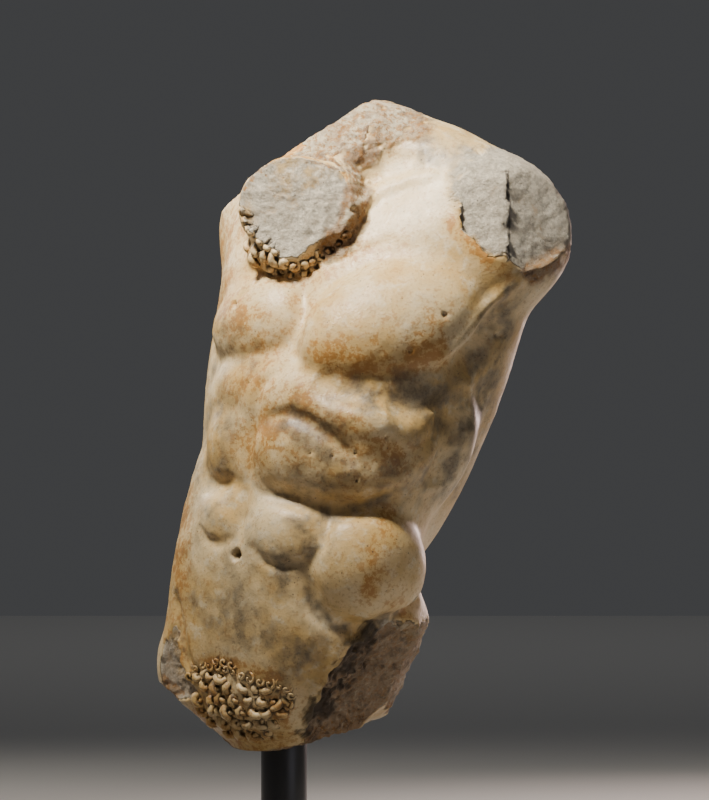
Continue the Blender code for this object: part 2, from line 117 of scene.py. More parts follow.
# Muscles: where their middle is seen, half sizes of their outline on the skin, slant above the
# horizontal, how far they stand proud, thickness and blend
Muscle = namedtuple("Muscle", "name across height long wide slant proud thick blend")
FRONT_MUSCLES = (
    Muscle("left breast", 106, 427, 92, 59, 24, 32, 46, 6),
    Muscle("left upper breast", 150, 486, 84, 56, 40, 15, 44, 16),
    Muscle("right breast", -30, 428, 56, 44, -6, 20, 34, 7),
    Muscle("right upper breast", -38, 486, 30, 56, 0, 8, 26, 14),
    Muscle("rib arch", 26, 352, 60, 30, -22, 9, 34, 12),
    Muscle("beard side", 70, 552, 26, 34, 0, 8, 24, 8),
    Muscle("second block left", 14, 292, 46, 38, -6, 12, 28, 7),
    Muscle("third block left", 4, 217, 40, 34, -8, 16, 30, 9),
    Muscle("first block right", -52, 366, 36, 24, 6, 8, 26, 8),
    Muscle("second block right", -62, 304, 25, 38, 0, 11, 26, 6),
    Muscle("third block right", -66, 234, 23, 27, 0, 13, 24, 5),
    Muscle("lower belly", -44, 138, 64, 66, 0, 8, 40, 24),
    Muscle("left flank roll", 86, 181, 58, 59, 16, 31, 50, 8),
    Muscle("right flank roll", -92, 180, 28, 66, 0, 5, 34, 12),
    Muscle("lower ribs left", 74, 276, 40, 28, 6, 10, 30, 8),
    Muscle("upper rib", 118, 316, 34, 11, 24, 3, 14, 10),
    Muscle("lower rib", 116, 278, 32, 11, 20, 3, 14, 10),
    Muscle("pubic mound", -39, 46, 52, 34, 0, 13, 34, 12),
)
BACK_MUSCLES = (
    Muscle("left shoulder blade", 150, 470, 56, 74, 10, 10, 44, 18),
    Muscle("right shoulder blade", 30, 470, 50, 74, -10, 10, 44, 18),
    Muscle("left spinal column muscle", 110, 290, 30, 130, 0, 10, 36, 12),
    Muscle("right spinal column muscle", 60, 290, 30, 130, 0, 10, 36, 12),
)

# Carved lines, as seen: how deep they go, half their width and the points they pass. A negative
# depth raises a ridge.
Line = namedtuple("Line", "name depth width points")
FRONT_LINES = (
    Line("breastbone", 5, 9, ((50, 520), (30, 490), (20, 452), (16, 410), (12, 380))),
    Line("white line", 5, 7, (
        (6, 384), (-24, 360), (-30, 325), (-34, 290), (-38, 258), (-42, 226), (-46, 200),
    )),
    Line("rib edge", 6, 7, ((-16, 328), (6, 336), (28, 326), (48, 312), (64, 296), (70, 280))),
    Line("third block edge", 4, 5, (
        (-32, 210), (-22, 193), (0, 183), (24, 189), (40, 206), (46, 228), (40, 250),
    )),
    Line("third block right edge", 4, 5, ((-84, 226), (-76, 211), (-62, 206), (-50, 212), (-44, 230))),
    Line("waist", 7, 10, ((-24, 262), (-2, 256), (20, 250), (48, 242), (76, 242), (100, 250), (118, 262))),
    Line("waist right", 5, 8, ((-34, 262), (-56, 266), (-78, 262))),
    Line("collar bone", -4, 8, ((71, 533), (92, 554), (125, 566), (156, 572))),
    Line("hollow over collar bone", 3, 16, ((95, 574), (116, 583), (140, 590))),
    Line("left breast top", 2, 9, ((26, 474), (70, 492), (116, 508))),
    Line("breast fold", -6, 6, ((146, 378), (168, 400), (192, 430), (218, 456), (246, 474))),
    Line("under the breast", 11, 14, ((30, 367), (52, 358), (84, 351), (120, 349), (148, 353), (172, 370))),
    Line("under the fold", 8, 14, ((160, 366), (190, 400), (214, 430))),
    Line("hollow of the ribs", 8, 20, ((104, 346), (136, 338), (166, 336), (184, 342), (202, 352))),
    Line("side of the ribs", 9, 18, ((186, 362), (172, 330), (162, 298), (150, 262))),
    Line("end of the upper rib", 13, 15, ((180, 314), (168, 334), (158, 346), (146, 356))),
    Line("right breast crease", 2, 4, ((-46, 448), (-34, 458), (-22, 470))),
    Line("left groin", 5, 10, ((52, 124), (40, 100), (24, 70), (14, 34))),
    Line("right groin", 8, 6, ((-108, 160), (-105, 132), (-101, 108), (-94, 84), (-80, 70))),
    Line("flank roll edge", 10, 9, (
        (30, 204), (24, 178), (30, 146), (48, 129), (76, 125), (106, 134), (134, 156),
    )),
)
BACK_LINES = (
    Line("spine", 6, 18, ((84, 560), (84, 470), (80, 380), (70, 290), (56, 210), (40, 150))),
    Line("cleft", 10, 12, ((36, 140), (32, 90), (28, 40))),
)

# Broken faces: a point on each, the direction it faces, how rough it is, how fresh it looks, and
# its outline to the viewer. One without an outline cuts right through.
Break = namedtuple("Break", "name point facing rough fresh outline")
BREAKS = (
    Break("left shoulder inner", (220, -85, 530), (-0.17, -0.965, 0.20), 3.2, 1.0, (
        (168, 588), (174, 556), (172, 536), (174, 520), (188, 502), (204, 490), (220, 482), (220, 600),
        (190, 608),
    )),
    Break("left shoulder outer", (220, -82.5, 530), (0.54, -0.81, 0.20), 1.8, 0.9, (
        (220, 610), (300, 610), (320, 520), (291, 502), (272, 496), (254, 484), (240, 476), (220, 478),
    )),
    Break("neck front", (56, -14, 618), (-0.20, -0.74, 0.64), 3.4, 0.0, (
        (-60, 566), (60, 660), (110, 660), (146, 623), (131, 613), (116, 598), (101, 583), (74, 574),
        (30, 588), (-14, 588),
    )),
    Break("neck top", (-24, 0, 573), (-0.57, 0.05, 0.82), 2.6, 0.3, ()),
    Break("beard", (16, -56, 536), (-0.20, -0.95, 0.20), 4.2, 1.0, (
        (-33, 576), (-12, 592), (16, 594), (46, 590), (72, 582), (72, 553), (70, 533), (62, 508),
        (45, 494), (16, 481), (4, 486), (-14, 500), (-30, 518), (-40, 548),
    )),
    Break("left thigh", (61, -108, 108), (0.56, -0.59, -0.58), 8.0, 0.62, (
        (64, 114), (12, 8), (12, -40), (160, -40), (160, 160), (134, 158), (112, 132), (88, 122),
    )),
    Break("left thigh side", (127, 0, 98), (0.89, -0.1, -0.45), 6.0, 0.7, (
        (100, 170), (60, -20), (200, -20), (200, 170),
    )),
    Break("right thigh", (-108, -6, 88), (-0.72, -0.68, -0.15), 3.0, 0.74, (
        (-111, 160), (-106, 143), (-101, 108), (-94, 83), (-80, 60), (-170, 40), (-170, 160),
    )),
    Break("right thigh end", (-101, 0, 46), (-0.65, -0.05, -0.76), 2.4, 0.2, ()),
    Break("crotch", (-50, -30, 4), (-0.38, -0.15, -0.91), 1.2, 0.0, ()),
    Break("left thigh end", (106, 0, 30), (0.24, 0.0, -0.97), 4.0, 0.1, ()),
    Break("underside", (0, 0, 0), (0.0, 0.0, -1.0), 0.0, 0.1, ()),
)

# The core that the skin is blown out from: its lowest and highest middle, its turn, the half sizes of
# the box of cells round it, and a reach that is well outside the stone
CORE_LOW = 112
CORE_HIGH = 520
CORE_TURN = math.radians(32)
CELL_BOX = (150, 110, 128)
FARTHEST = 330

# The search along each ray: the cells of a coarse first stone and of the fine one, how far outside
# the first one the fine search starts, its shortest and longest step, the share of a distance that
# a step goes, and how often the last step is halved
FIRST_CELLS = (36, 26, 72)
FINE_CELLS = (140, 94, 270)
HEADROOM = 26
SHORT_STEP = 1.2
LONG_STEP = 6.0
CAUTION = 0.9
HALVINGS = 8

# The worn skin's waves: how tall and wide, and their seed
SKIN_WAVES = ((0.8, 26, 1), (0.35, 9, 2))

# Broken faces: a ray that meets one more flatly than the first share passes it by, and below the
# second its rubble is stretched no further. A rim is uneven by so much, over such a width, and a
# face rises so steeply beyond its outline.
GRAZING = 0.04
STRETCHED = 0.35
RIM_JITTER = 2.4
RIM_WAVE = 9
RIM_SLOPE = 2.2

# Stone worn away along a break's stain: its roughness, depth and seed, and how far behind the core
# it still is
WORN_ROUGH = 2.6
WORN_DEPTH = 1.2
WORN_SEED = 71
WORN_BEHIND = 20

# Ragged edges longer than this are smoothed so many times, and this share of the mesh is kept
LONGEST_EDGE = 8.5
SMOOTHINGS = 6
SHARE_KEPT = 0.55

# What counts as broken: how near a face it lies, and further where the face is rough; how deep it
# lies under the old skin, at least and for good; and how far over the face's outline
BREAK_NEAR = 3
BREAK_NEAR_ROUGH = 2.2
BREAK_DEPTHS = (0.4, 2.0)
BREAK_OVER = 5

# Hair: the patch on the belly, and the places of the single locks at its edge and round the beard
PUBIC_HAIR = (
    (-90, 72), (-80, 78), (-56, 76), (-34, 68), (-4, 62), (6, 56), (4, 42), (-2, 24), (-20, 14),
    (-56, 14), (-72, 28), (-86, 48),
)
HAIR_EDGE = (
    (-93, 74), (-86, 82), (-79, 85), (-72, 84), (-64, 84), (-56, 83), (-48, 81), (-40, 77), (-32, 74),
    (-22, 71), (-12, 69), (-3, 68), (4, 65), (8, 58), (8, 50), (-66, 90), (-58, 89), (-50, 87),
)
BEARD_FINGERS = (
    (-40, 536), (-37, 527), (-34, 519), (-29, 512), (-23, 506), (-16, 500), (-9, 495),
)
BEARD_CURLS = (
    (-33, 500), (-25, 495), (-16, 491), (-7, 487), (2, 484), (11, 481), (20, 483), (29, 486), (38, 490),
    (47, 496), (55, 504), (61, 512), (-27, 487), (-14, 480), (-3, 475), (8, 472), (22, 474), (33, 479),
)
BEARD_MIDDLE = (14, 536)
CURL_SPACING = 12.6
CURL_SCATTER = 1.6

# Kinds of lock: the radius of its curl, its share of the set thickness, its stem and its turns
Lock = namedtuple("Lock", "size thick stem turns")
BELLY_CURL = Lock(6.4, 1.0, 3, 1.2)
BEARD_CURL = Lock(4.8, 1.0, 9, 0.8)
BEARD_FINGER = Lock(3.4, 1.0, 12, 0.3)
EDGE_WISP = Lock(4.4, 0.4, 5, 0.9)
LOCK_POINTS = 14

# A lock's stem takes this share of it and comes up out of the stone; its curl then rises and tightens
STEM_SHARE = 0.25
STEM_SUNK = 2.2
STEM_RISE = 7
CURL_SUNK = 0.4
CURL_RISE = 3.4
CURL_TIGHTENS = 0.72

# How unlike the locks are: shares of their size, stem and turns, then angles of lean and heading
SIZE_RANGE = (0.75, 1.25)
STEM_RANGE = (0.7, 1.2)
TURNS_RANGE = (0.8, 1.2)
LEAN_RANGE = (-0.25, 0.25)
HEADING_RANGE = (-0.4, 0.4)
WISP_RANGE = (-0.9, 0.9)

# The drill's mark beside each curl: its radius and depth
CURL_HOLE = (3.2, 7)

# Round holes drilled or picked out of the skin, as seen: how wide and how deep
Hole = namedtuple("Hole", "name across height radius depth")
HOLES = (
    Hole("drilled hole in the breast", 214, 411, 3.6, 12),
    Hole("navel", -46, 196, 6.0, 12),
    Hole("pick mark left", -35, 365, 2.0, 3),
    Hole("pick mark by the white line", 27, 296, 2.0, 3),
    Hole("pick mark on the ribs", 72, 296, 2.4, 3),
    Hole("pick mark on the flank", 101, 312, 2.0, 3),
    Hole("pick mark below it", 49, 293, 2.0, 3),
    Hole("pick mark at the waist", 73, 270, 2.0, 3),
    Hole("chip on the breast", 159, 431, 2.8, 3),
    Hole("chip under the breast", 125, 396, 2.4, 3),
    Hole("chip by the breastbone", -49, 443, 3.2, 4),
    Hole("hole under the hair", -14, 15, 4.0, 10),
)

# Stains and painted shade, as seen, by their kind: how strong, half their width and the points they pass
STAINS_AND_SHADE = {
    "ochre": (
        (0.9, 12, ((64, 575), (78, 562))),
        (0.9, 6, ((61, 523), (70, 540), (81, 553))),
        (0.9, 34, ((0, 590), (60, 622), (110, 630))),
        (0.95, 8, ((164, 526), (190, 495), (218, 472))),
        (0.7, 15, ((100, 232), (92, 190), (86, 160))),
        (0.75, 12, ((-100, 258), (-104, 190), (-100, 110))),
        (0.6, 18, ((110, 150), (130, 120))),
        (0.5, 26, ((20, 440), (50, 400), (100, 395), (150, 415))),
        (0.55, 26, ((-40, 360), (0, 350), (40, 330), (60, 300))),
        (0.45, 24, ((-60, 430), (-30, 400))),
        (0.5, 20, ((-30, 490), (0, 470), (60, 485), (110, 500))),
        (0.5, 40, ((-55, 530), (-60, 470))),
        (0.5, 20, ((0, 300), (60, 265), (130, 290))),
        (0.6, 26, ((-90, 30), (-50, 12), (0, 6))),
        (0.3, 50, ((-60, 430), (60, 400), (150, 420))),
        (0.6, 26, ((-70, 50), (-30, 40), (0, 40))),
        (0.65, 30, ((-60, 450), (-40, 420), (-20, 400))),
        (0.8, 22, ((-104, 560), (-66, 520), (-66, 440))),
        (0.9, 18, ((36, 400), (60, 384), (110, 378), (150, 396))),
        (0.85, 26, ((20, 340), (-10, 330), (-30, 300))),
        (0.8, 16, ((60, 330), (80, 300), (110, 292))),
        (0.8, 10, ((-72, 88), (-40, 84), (-6, 76))),
        (0.7, 12, ((-114, 130), (-106, 100), (-96, 80))),
    ),
    # Grey-brown dirt, and painted shade: under the breast, in the hollow of the ribs, along the creases of
    # the waist, groin and flank roll, down the flank that turns from the light, and over the belly
    "grime_and_shade": (
        (0.66, 60, ((-70, 330), (-60, 200), (-40, 130), (0, 100))),
        (0.8, 44, ((40, 320), (30, 240), (-10, 180))),
        (0.8, 24, ((-86, 150), (-50, 125), (-20, 108), (16, 92))),
        (0.75, 18, ((96, 356), (130, 338), (170, 318))),
        (0.8, 13, ((46, 368), (84, 358), (124, 354), (166, 362))),
        (0.85, 22, ((250, 474), (282, 494))),
        (0.72, 34, ((206, 430), (196, 370), (176, 310), (156, 262))),
        (0.8, 8, ((-22, 262), (20, 250), (76, 242), (118, 262))),
        (0.7, 7, ((-108, 160), (-101, 108), (-94, 84))),
        (0.85, 9, ((24, 170), (32, 142), (50, 126), (80, 124), (112, 140))),
        (0.5, 30, ((-60, 40), (-20, 30))),
        (0.55, 40, ((-70, 400), (-70, 300), (-70, 220))),
        (0.75, 26, ((130, 598), (172, 592))),
        (1.1, 22, ((76, 354), (116, 348), (156, 354))),
        (0.45, 22, ((-70, 60), (-40, 44), (-8, 40))),
        (0.9, 30, ((-66, 150), (-50, 130), (-20, 116))),
        (0.9, 22, ((116, 366), (150, 354), (184, 340))),
        (0.75, 30, ((154, 330), (142, 290), (128, 262))),
        (0.7, 30, ((-66, 420), (-40, 396))),
        (0.75, 34, ((10, 330), (50, 280), (96, 272))),
        (0.62, 50, ((-10, 110), (-40, 160), (0, 206))),
        (0.9, 26, ((216, 446), (206, 390), (190, 330), (160, 268))),
    ),
    "streaks_and_shade": (
        (0.88, 20, ((84, 118), (56, 72), (26, 26))),
        # A painted shadow line along the small ledge between the shoulder's two broken faces
        (0.9, 3, ((221, 576), (222, 520), (221, 484))),
        # A dark line along a crack in the beard's break
        (0.7, 2.5, ((-11, 552), (2, 548), (10, 551), (18, 549))),
    ),
    "old break": (
        (1.1, 20, ((50, 632), (92, 636), (128, 630))),
        (1.0, 16, ((96, 612), (84, 596), (70, 590))),
        (0.9, 9, ((72, 576), (80, 560), (66, 540))),
        (0.8, 5, ((60, 520), (66, 538))),
        (1.2, 12, ((46, 498), (62, 510), (70, 530), (74, 556))),
        (0.8, 12, ((244, 474), (262, 484), (280, 494))),
    ),
    "fresh break": (
        (1.0, 7, ((80, 590), (96, 600))),
        (1.3, 20, ((186, 560), (196, 576), (216, 582), (242, 574), (264, 554))),
        (1.1, 9, ((272, 552), (288, 520), (286, 500))),
        (0.9, 9, ((104, 124), (116, 108), (122, 96))),
    ),
}

# How far stone nearby closes off a hollow, which is painted darker as shade, how far out the search starts,
# and the directions that it takes round the normal: how far they lean, and which way
HOLLOW_REACH = 16
HOLLOW_START = 0.4
OUTLOOK = tuple(
    Vector((math.sin(lean) * math.cos(turn), math.sin(lean) * math.sin(turn), math.cos(lean)))
    for lean, turns in (
        (0, (0,)),
        (math.radians(38), (0.3, 1.9, 3.5, 5.0)),
        (math.radians(66), (0.9, 2.2, 3.4, 4.7, 5.9)),
    )
    for turn in turns
)

# Patterns in the marble: the size of their largest patches, their finer octaves and how strong
# those are
Pattern = namedtuple("Pattern", "size_mm detail roughness")
PATTERNS = {
    "grit": Pattern(3, 4, 0.6),
    "flecks": Pattern(4, 6, 0.75),
    "pale specks": Pattern(5, 6, 0.7),
    "specks": Pattern(6, 7, 0.72),
    "rust": Pattern(6, 7, 0.75),
    "crevices": Pattern(8, 8, 0.75),
    "shade": Pattern(9, 6, 0.72),
    "lumps": Pattern(9, 9, 0.78),
    "mottle": Pattern(13, 6, 0.62),
    "patches": Pattern(20, 6, 0.7),
    "pitted places": Pattern(22, 3, 0.55),
    "clouds": Pattern(80, 3, 0.55),
}
STRAND_MM = 6
CRYSTAL_MM = 2.4
PIT_SPACING_MM = 6.5
WAX_CLOUD_MM = 35

# The middle of the view, from the post's axis and the stone's foot, and the height that it shows
VIEW_ACROSS = 0.0705
VIEW_UP = 0.348
VIEW_HEIGHT = 0.8

# Lamps: where each hangs and aims, the side of its square, its spread in degrees, power and colour
Lamp = namedtuple("Lamp", "name place aim size spread watts colour")
LAMPS = (
    Lamp("key", (-0.46, -0.54, 1.86), (0.07, 0, 0.84), 0.30, 54, 7.0, "#FFF8EC"),
    Lamp("fill", (1.9, -2.2, 0.7), (0.05, 0, 0.5), 1.6, 120, 2.3, "#F2F2FF"),
    Lamp("rim", (1.2, 1.9, 0.75), (0.12, 0, 0.5), 0.9, 110, 9, "#FFE0DA"),
    Lamp("wash over the floor", (0, 5.5, 3.0), (0, 5.5, 0), 4.0, 140, 3.8, "#FFFFFF"),
    Lamp("back", (-1.6, 1.9, 1.9), (0.05, 0, 0.5), 1.4, 110, 14, "#FFF7EC"),
)


def smooth_union(a, b, blend):
    """The lower of two distances, melted into each other where they are nearly alike."""
    overlap = np.maximum(blend - np.abs(a - b), 0) / blend
    return np.minimum(a, b) - overlap**2 * blend / 4


def smooth_curve(at, knots, rows):
    """The rows of a table at each place, on a smooth curve through them."""
    slopes = np.gradient(rows, knots, axis=0)
    i = np.clip(np.searchsorted(knots, at) - 1, 0, len(knots) - 2)
    span = (knots[i + 1] - knots[i])[:, None]
    t = np.clip((at - knots[i])[:, None] / span, 0, 1)
    return (
        (2 * t**3 - 3 * t**2 + 1) * rows[i]
        + (t**3 - 2 * t**2 + t) * span * slopes[i]
        + (3 * t**2 - 2 * t**3) * rows[i + 1]
        + (t**3 - t**2) * span * slopes[i + 1]
    )


def trunk(points):
    """Signed distance, about, from the trunk's skin: below zero inside."""
    rows = smooth_curve(points[:, 2], TRUNK_LEVELS[:, 0], TRUNK_LEVELS[:, 1:])
    across, deep, turn, breadth, before, behind = rows.T
    turn = np.radians(turn)
    x, y = points[:, 0] - across, points[:, 1] - deep
    lateral = x * np.cos(turn) - y * np.sin(turn)
    forward = -x * np.sin(turn) - y * np.cos(turn)
    depth = np.where(forward > 0, before, behind)
    share = np.hypot(lateral / breadth, forward / depth)
    slope = np.hypot(lateral / breadth**2, forward / depth**2)
    wall = share * (share - 1) / np.maximum(slope, 1e-6)
    wall = -smooth_union(-wall, TRUNK_TOP - points[:, 2], TRUNK_TOP_BLEND)
    return np.maximum(wall, TRUNK_FOOT - points[:, 2])


def ellipsoid(points, centre, axes, sizes):
    """Signed distance, about, from an ellipsoid's skin: below zero inside."""
    local = (points - centre) @ np.transpose(axes)
    share = np.linalg.norm(local / sizes, axis=1)
    slope = np.linalg.norm(local / np.square(sizes), axis=1)
    return share * (share - 1) / np.maximum(slope, 1e-9)


def add_ellipsoid(points, distance, centre, axes, sizes, blend):
    """The distances with one more ellipsoid melted in, worked out only for points near it."""
    near = np.linalg.norm(points - centre, axis=1) < max(sizes) + 2 * blend
    added = ellipsoid(points[near], centre, axes, sizes)
    distance[near] = smooth_union(distance[near], added, blend)


def masses(points):
    """Signed distance, about, from the skin of the trunk with its large masses."""
    distance = trunk(points)
    for mass in MASSES:
        angles = (0, -math.radians(mass.tilt), -math.radians(mass.turn))
        axes = np.array(Euler(angles).to_matrix().transposed())
        centre = (mass.across, mass.deep, mass.height)
        sizes = (mass.wide, mass.thick, mass.tall)
        add_ellipsoid(points, distance, centre, axes, sizes, mass.blend)
    return distance


def seat(field, across, height, side, reach=320, step=1.0):
    """The point and outward normal where a line straight in first meets the field's skin."""
    deep = side * np.arange(reach, -reach, -step)
    line = np.column_stack((np.full_like(deep, across), deep, np.full_like(deep, height)))
    inside = field(line) < 0
    if not inside.any():
        raise ValueError(f"nothing of the figure lies at {across}, {height}")
    point = line[np.argmax(inside)]
    nudge = np.eye(3) * 2
    slope = field(point + nudge) - field(point - nudge)
    return point, slope / np.linalg.norm(slope)


def seated_axes(normal, slant):
    """A muscle's axes along, out of and across the skin, its slant as the viewer sees it."""
    angle = math.radians(slant)
    along = np.array((math.cos(angle), 0, math.sin(angle)))
    along -= along @ normal * normal
    along /= np.linalg.norm(along)
    return np.array((along, normal, np.cross(along, normal)))


def seated_muscles():
    """Centre, axes, half sizes and blend of every muscle, set into the skin of the masses."""
    found = []
    for side, muscles in ((-1, FRONT_MUSCLES), (1, BACK_MUSCLES)):
        for muscle in muscles:
            point, normal = seat(masses, muscle.across, muscle.height, side)
            sunk = muscle.thick - muscle.proud
            spread = 1 / math.sqrt(1 - (sunk / muscle.thick) ** 2)
            sizes = (muscle.long * spread, muscle.thick, muscle.wide * spread)
            axes = seated_axes(normal, muscle.slant)
            found.append((point - normal * sunk, axes, sizes, muscle.blend))
    return found


def fleshed(points, muscles):
    """Signed distance, about, from the skin of the masses with their muscles."""
    distance = masses(points)
    for centre, axes, sizes, blend in muscles:
        add_ellipsoid(points, distance, centre, axes, sizes, blend)
    return distance


def seated_lines(muscles):
    """Depth, width and points in space of every carved line, set on the skin of the muscles."""
    found = []
    for side, lines in ((-1, FRONT_LINES), (1, BACK_LINES)):
        for line in lines:
            points = [
                seat(lambda at: fleshed(at, muscles), across, height, side)[0]
                for across, height in line.points
            ]
            found.append((line.depth, line.width, np.array(points)))
    return found


def carve(points, distance, depth, width, path):
    """The distances with a line of that depth carved along the path, fading out at its ends."""
    low, high = path.min(axis=0) - 3 * width, path.max(axis=0) + 3 * width
    near = np.flatnonzero(((points > low) & (points < high)).all(axis=1))
    steps = np.linalg.norm(np.diff(path, axis=0), axis=1)
    length = steps.sum()
    nearest = np.full(len(near), np.inf)
    run = np.zeros(len(near))
    for start, end, step, before in zip(path, path[1:], steps, np.cumsum(steps) - steps):
        reach = points[near] - start
        t = np.clip(reach @ (end - start) / step**2, 0, 1)
        away = np.linalg.norm(reach - t[:, None] * (end - start), axis=1)
        closer = away < nearest
        nearest[closer] = away[closer]
        run[closer] = (before + t * step)[closer] / length
    fade = 1 - np.abs(2 * run - 1) ** 4
    distance[near] += depth * fade * np.exp(-((nearest / width) ** 2))


def skin(points, muscles, lines):
    """Signed distance, about, from the whole carved skin, as it was before it broke."""
    distance = fleshed(points, muscles)
    for depth, width, path in lines:
        carve(points, distance, depth, width, path)
    return distance


def core_rays(cells):
    """Start and direction of a ray out of the body's core for each point of the cell box."""
    levels = TRUNK_LEVELS[:, 0]
    height = np.interp(cells[:, 2], (-1, 1), (CORE_LOW - CELL_BOX[2], CORE_HIGH + CELL_BOX[2]))
    at = np.clip(height, CORE_LOW, CORE_HIGH)
    rows = smooth_curve(at, levels, TRUNK_LEVELS[:, 1:])
    starts = np.column_stack((rows[:, 0], rows[:, 1], at))
    side = np.array((math.cos(CORE_TURN), -math.sin(CORE_TURN), 0))
    back = np.array((math.sin(CORE_TURN), math.cos(CORE_TURN), 0))
    offset = cells[:, :1] * CELL_BOX[0] * side + cells[:, 1:2] * CELL_BOX[1] * back
    offset[:, 2] = height - at
    return starts, offset / np.linalg.norm(offset, axis=1)[:, None]


def outermost(field, starts, directions, reach):
    """How far out each ray leaves the field's skin for good, met on the way in from its reach."""
    outside = reach.copy()
    inside = reach.copy()
    going = np.arange(len(reach))
    while len(going):
        distance = field(starts[going] + inside[going, None] * directions[going])
        going, distance = going[distance > 0], distance[distance > 0]
        outside[going] = inside[going]
        inside[going] -= np.clip(distance * CAUTION, SHORT_STEP, LONG_STEP)
    for _ in range(HALVINGS):
        middle = (inside + outside) / 2
        within = field(starts + middle[:, None] * directions) < 0
        inside, outside = np.where(within, middle, inside), np.where(within, outside, middle)
    return inside


def cell_box(counts):
    """A cube whose faces are cut into cells, so many along each axis."""
    cells = bmesh.new()
    bmesh.ops.create_cube(cells, size=2)
    for axis, count in enumerate(counts):
        along = [
            edge for edge in cells.edges
            if abs(edge.verts[0].co[axis] - edge.verts[1].co[axis]) > 1
        ]
        bmesh.ops.subdivide_edges(cells, edges=along, cuts=count - 1, use_grid_fill=True)
    return cells


def random_waves(points, size, seed):
    """Smooth random numbers from -1 to 1 that rise and fall over about that size."""
    at = points / size
    corner = np.floor(at).astype(np.int64)
    share = at - corner
    share = share * share * (3 - 2 * share)
    total = np.zeros(len(points))
    # Each corner of the grid gets its own number, mixed from its place and the seed
    for step in itertools.product((0, 1), repeat=3):
        cell = corner + step
        mixed = cell @ np.array((73856093, 19349663, 83492791)) + seed * 2654435
        mixed = ((mixed ^ (mixed >> 13)) * 1274126177) & 0x7FFFFFFF
        value = ((mixed ^ (mixed >> 16)) % 10007) / 5003 - 1
        total += value * np.prod(np.where(step, share, 1 - share), axis=1)
    return total


def rubble(points, seed):
    """The lumps, ridges and grain of a broken stone face, about -1 to 1."""
    ridges = 1 - 2 * np.abs(random_waves(points, 17, seed))
    lumps = random_waves(points, 30, seed + 1)
    edges = 1 - 2 * np.abs(random_waves(points, 8, seed + 2))
    return 0.3 * ridges + 0.3 * lumps + 0.28 * edges + 0.3 * random_waves(points, 4.5, seed + 3)


def off_path(across, height, path):
    """How far each place lies from a path, as seen."""
    nearest = np.full(len(across), np.inf)
    for (x0, z0), (x1, z1) in zip(path, path[1:]):
        run, rise = x1 - x0, z1 - z0
        t = np.clip(((across - x0) * run + (height - z0) * rise) / (run**2 + rise**2), 0, 1)
        nearest = np.minimum(nearest, np.hypot(across - x0 - t * run, height - z0 - t * rise))
    return nearest


def beyond_outline(across, height, outline):
    """How far each place lies outside an outline; below zero within it."""
    nearest = off_path(across, height, outline + outline[:1])
    within = np.zeros(len(across), bool)
    for (x0, z0), (x1, z1) in zip(outline, outline[1:] + outline[:1]):
        if z1 != z0:
            straddles = (z0 > height) != (z1 > height)
            within ^= straddles & (across < x0 + (height - z0) * (x1 - x0) / (z1 - z0))
    return np.where(within, -nearest, nearest)


def stain_and_shade_strength(points, strength, width, path):
    """How strongly a painted stain, or a band of painted shade, colours each point: full on its path, fading
    out over its width.
    """
    return strength * np.exp(-((off_path(points[:, 0], points[:, 2], path) / width) ** 2))


def unit(direction):
    """The direction at a length of 1."""
    return np.array(direction) / np.linalg.norm(direction)


def broken(starts, directions, reach, roughness):
    """Each ray's reach cut short by the broken faces, which are rough and crumble at their rims."""
    cut = reach.copy()
    for number, face in enumerate(BREAKS):
        seed = 10 * number
        facing = unit(face.facing)
        toward = directions @ facing
        met = toward > GRAZING
        flat = (np.array(face.point) - starts[met]) @ facing / toward[met]
        place = starts[met] + flat[:, None] * directions[met]
        flat += face.rough * roughness * rubble(place, seed) / np.maximum(toward[met], STRETCHED)
        if face.outline:
            beyond = beyond_outline(place[:, 0], place[:, 2], face.outline)
            beyond += RIM_JITTER * random_waves(place, RIM_WAVE, seed + 5)
            flat += RIM_SLOPE * np.maximum(beyond, 0)
        cut[met] = np.minimum(cut[met], flat)
    return cut


def new_object(name, bm):
    """An object in the scene with the bmesh as its mesh; the bmesh is used up."""
    mesh = bpy.data.meshes.new(name)
    bm.to_mesh(mesh)
    bm.free()
    made = bpy.data.objects.new(name, mesh)
    bpy.context.scene.collection.objects.link(made)
    return made


def baked(made):
    """The object with its modifiers worked into its mesh, and any curve turned into a mesh."""
    view = bpy.context.evaluated_depsgraph_get()
    mesh = bpy.data.meshes.new_from_object(made.evaluated_get(view), depsgraph=view)
    name = made.name
    bpy.data.objects.remove(made)
    finished = bpy.data.objects.new(name, mesh)
    finished.name = name
    bpy.context.scene.collection.objects.link(finished)
    return finished


def worn(points, starts, reach, holes):
    """Each ray's reach with the worn skin's waves, the drilled holes and the stone lost in stains."""
    for tall, wide, seed in SKIN_WAVES:
        reach = reach + tall * random_waves(points, wide, seed)
    for (place, _), radius, depth in holes:
        away = np.linalg.norm(points - place, axis=1)
        reach -= depth * np.sqrt(np.clip(1 - (away / radius) ** 2, 0, 1))
    lost = WORN_ROUGH * rubble(points, WORN_SEED) - WORN_DEPTH
    front = points[:, 1] < starts[:, 1] + WORN_BEHIND
    for stain in STAINS_AND_SHADE["old break"] + STAINS_AND_SHADE["fresh break"]:
        reach += np.clip(stain_and_shade_strength(points, *stain) * front, 0, 1) * lost
    return reach


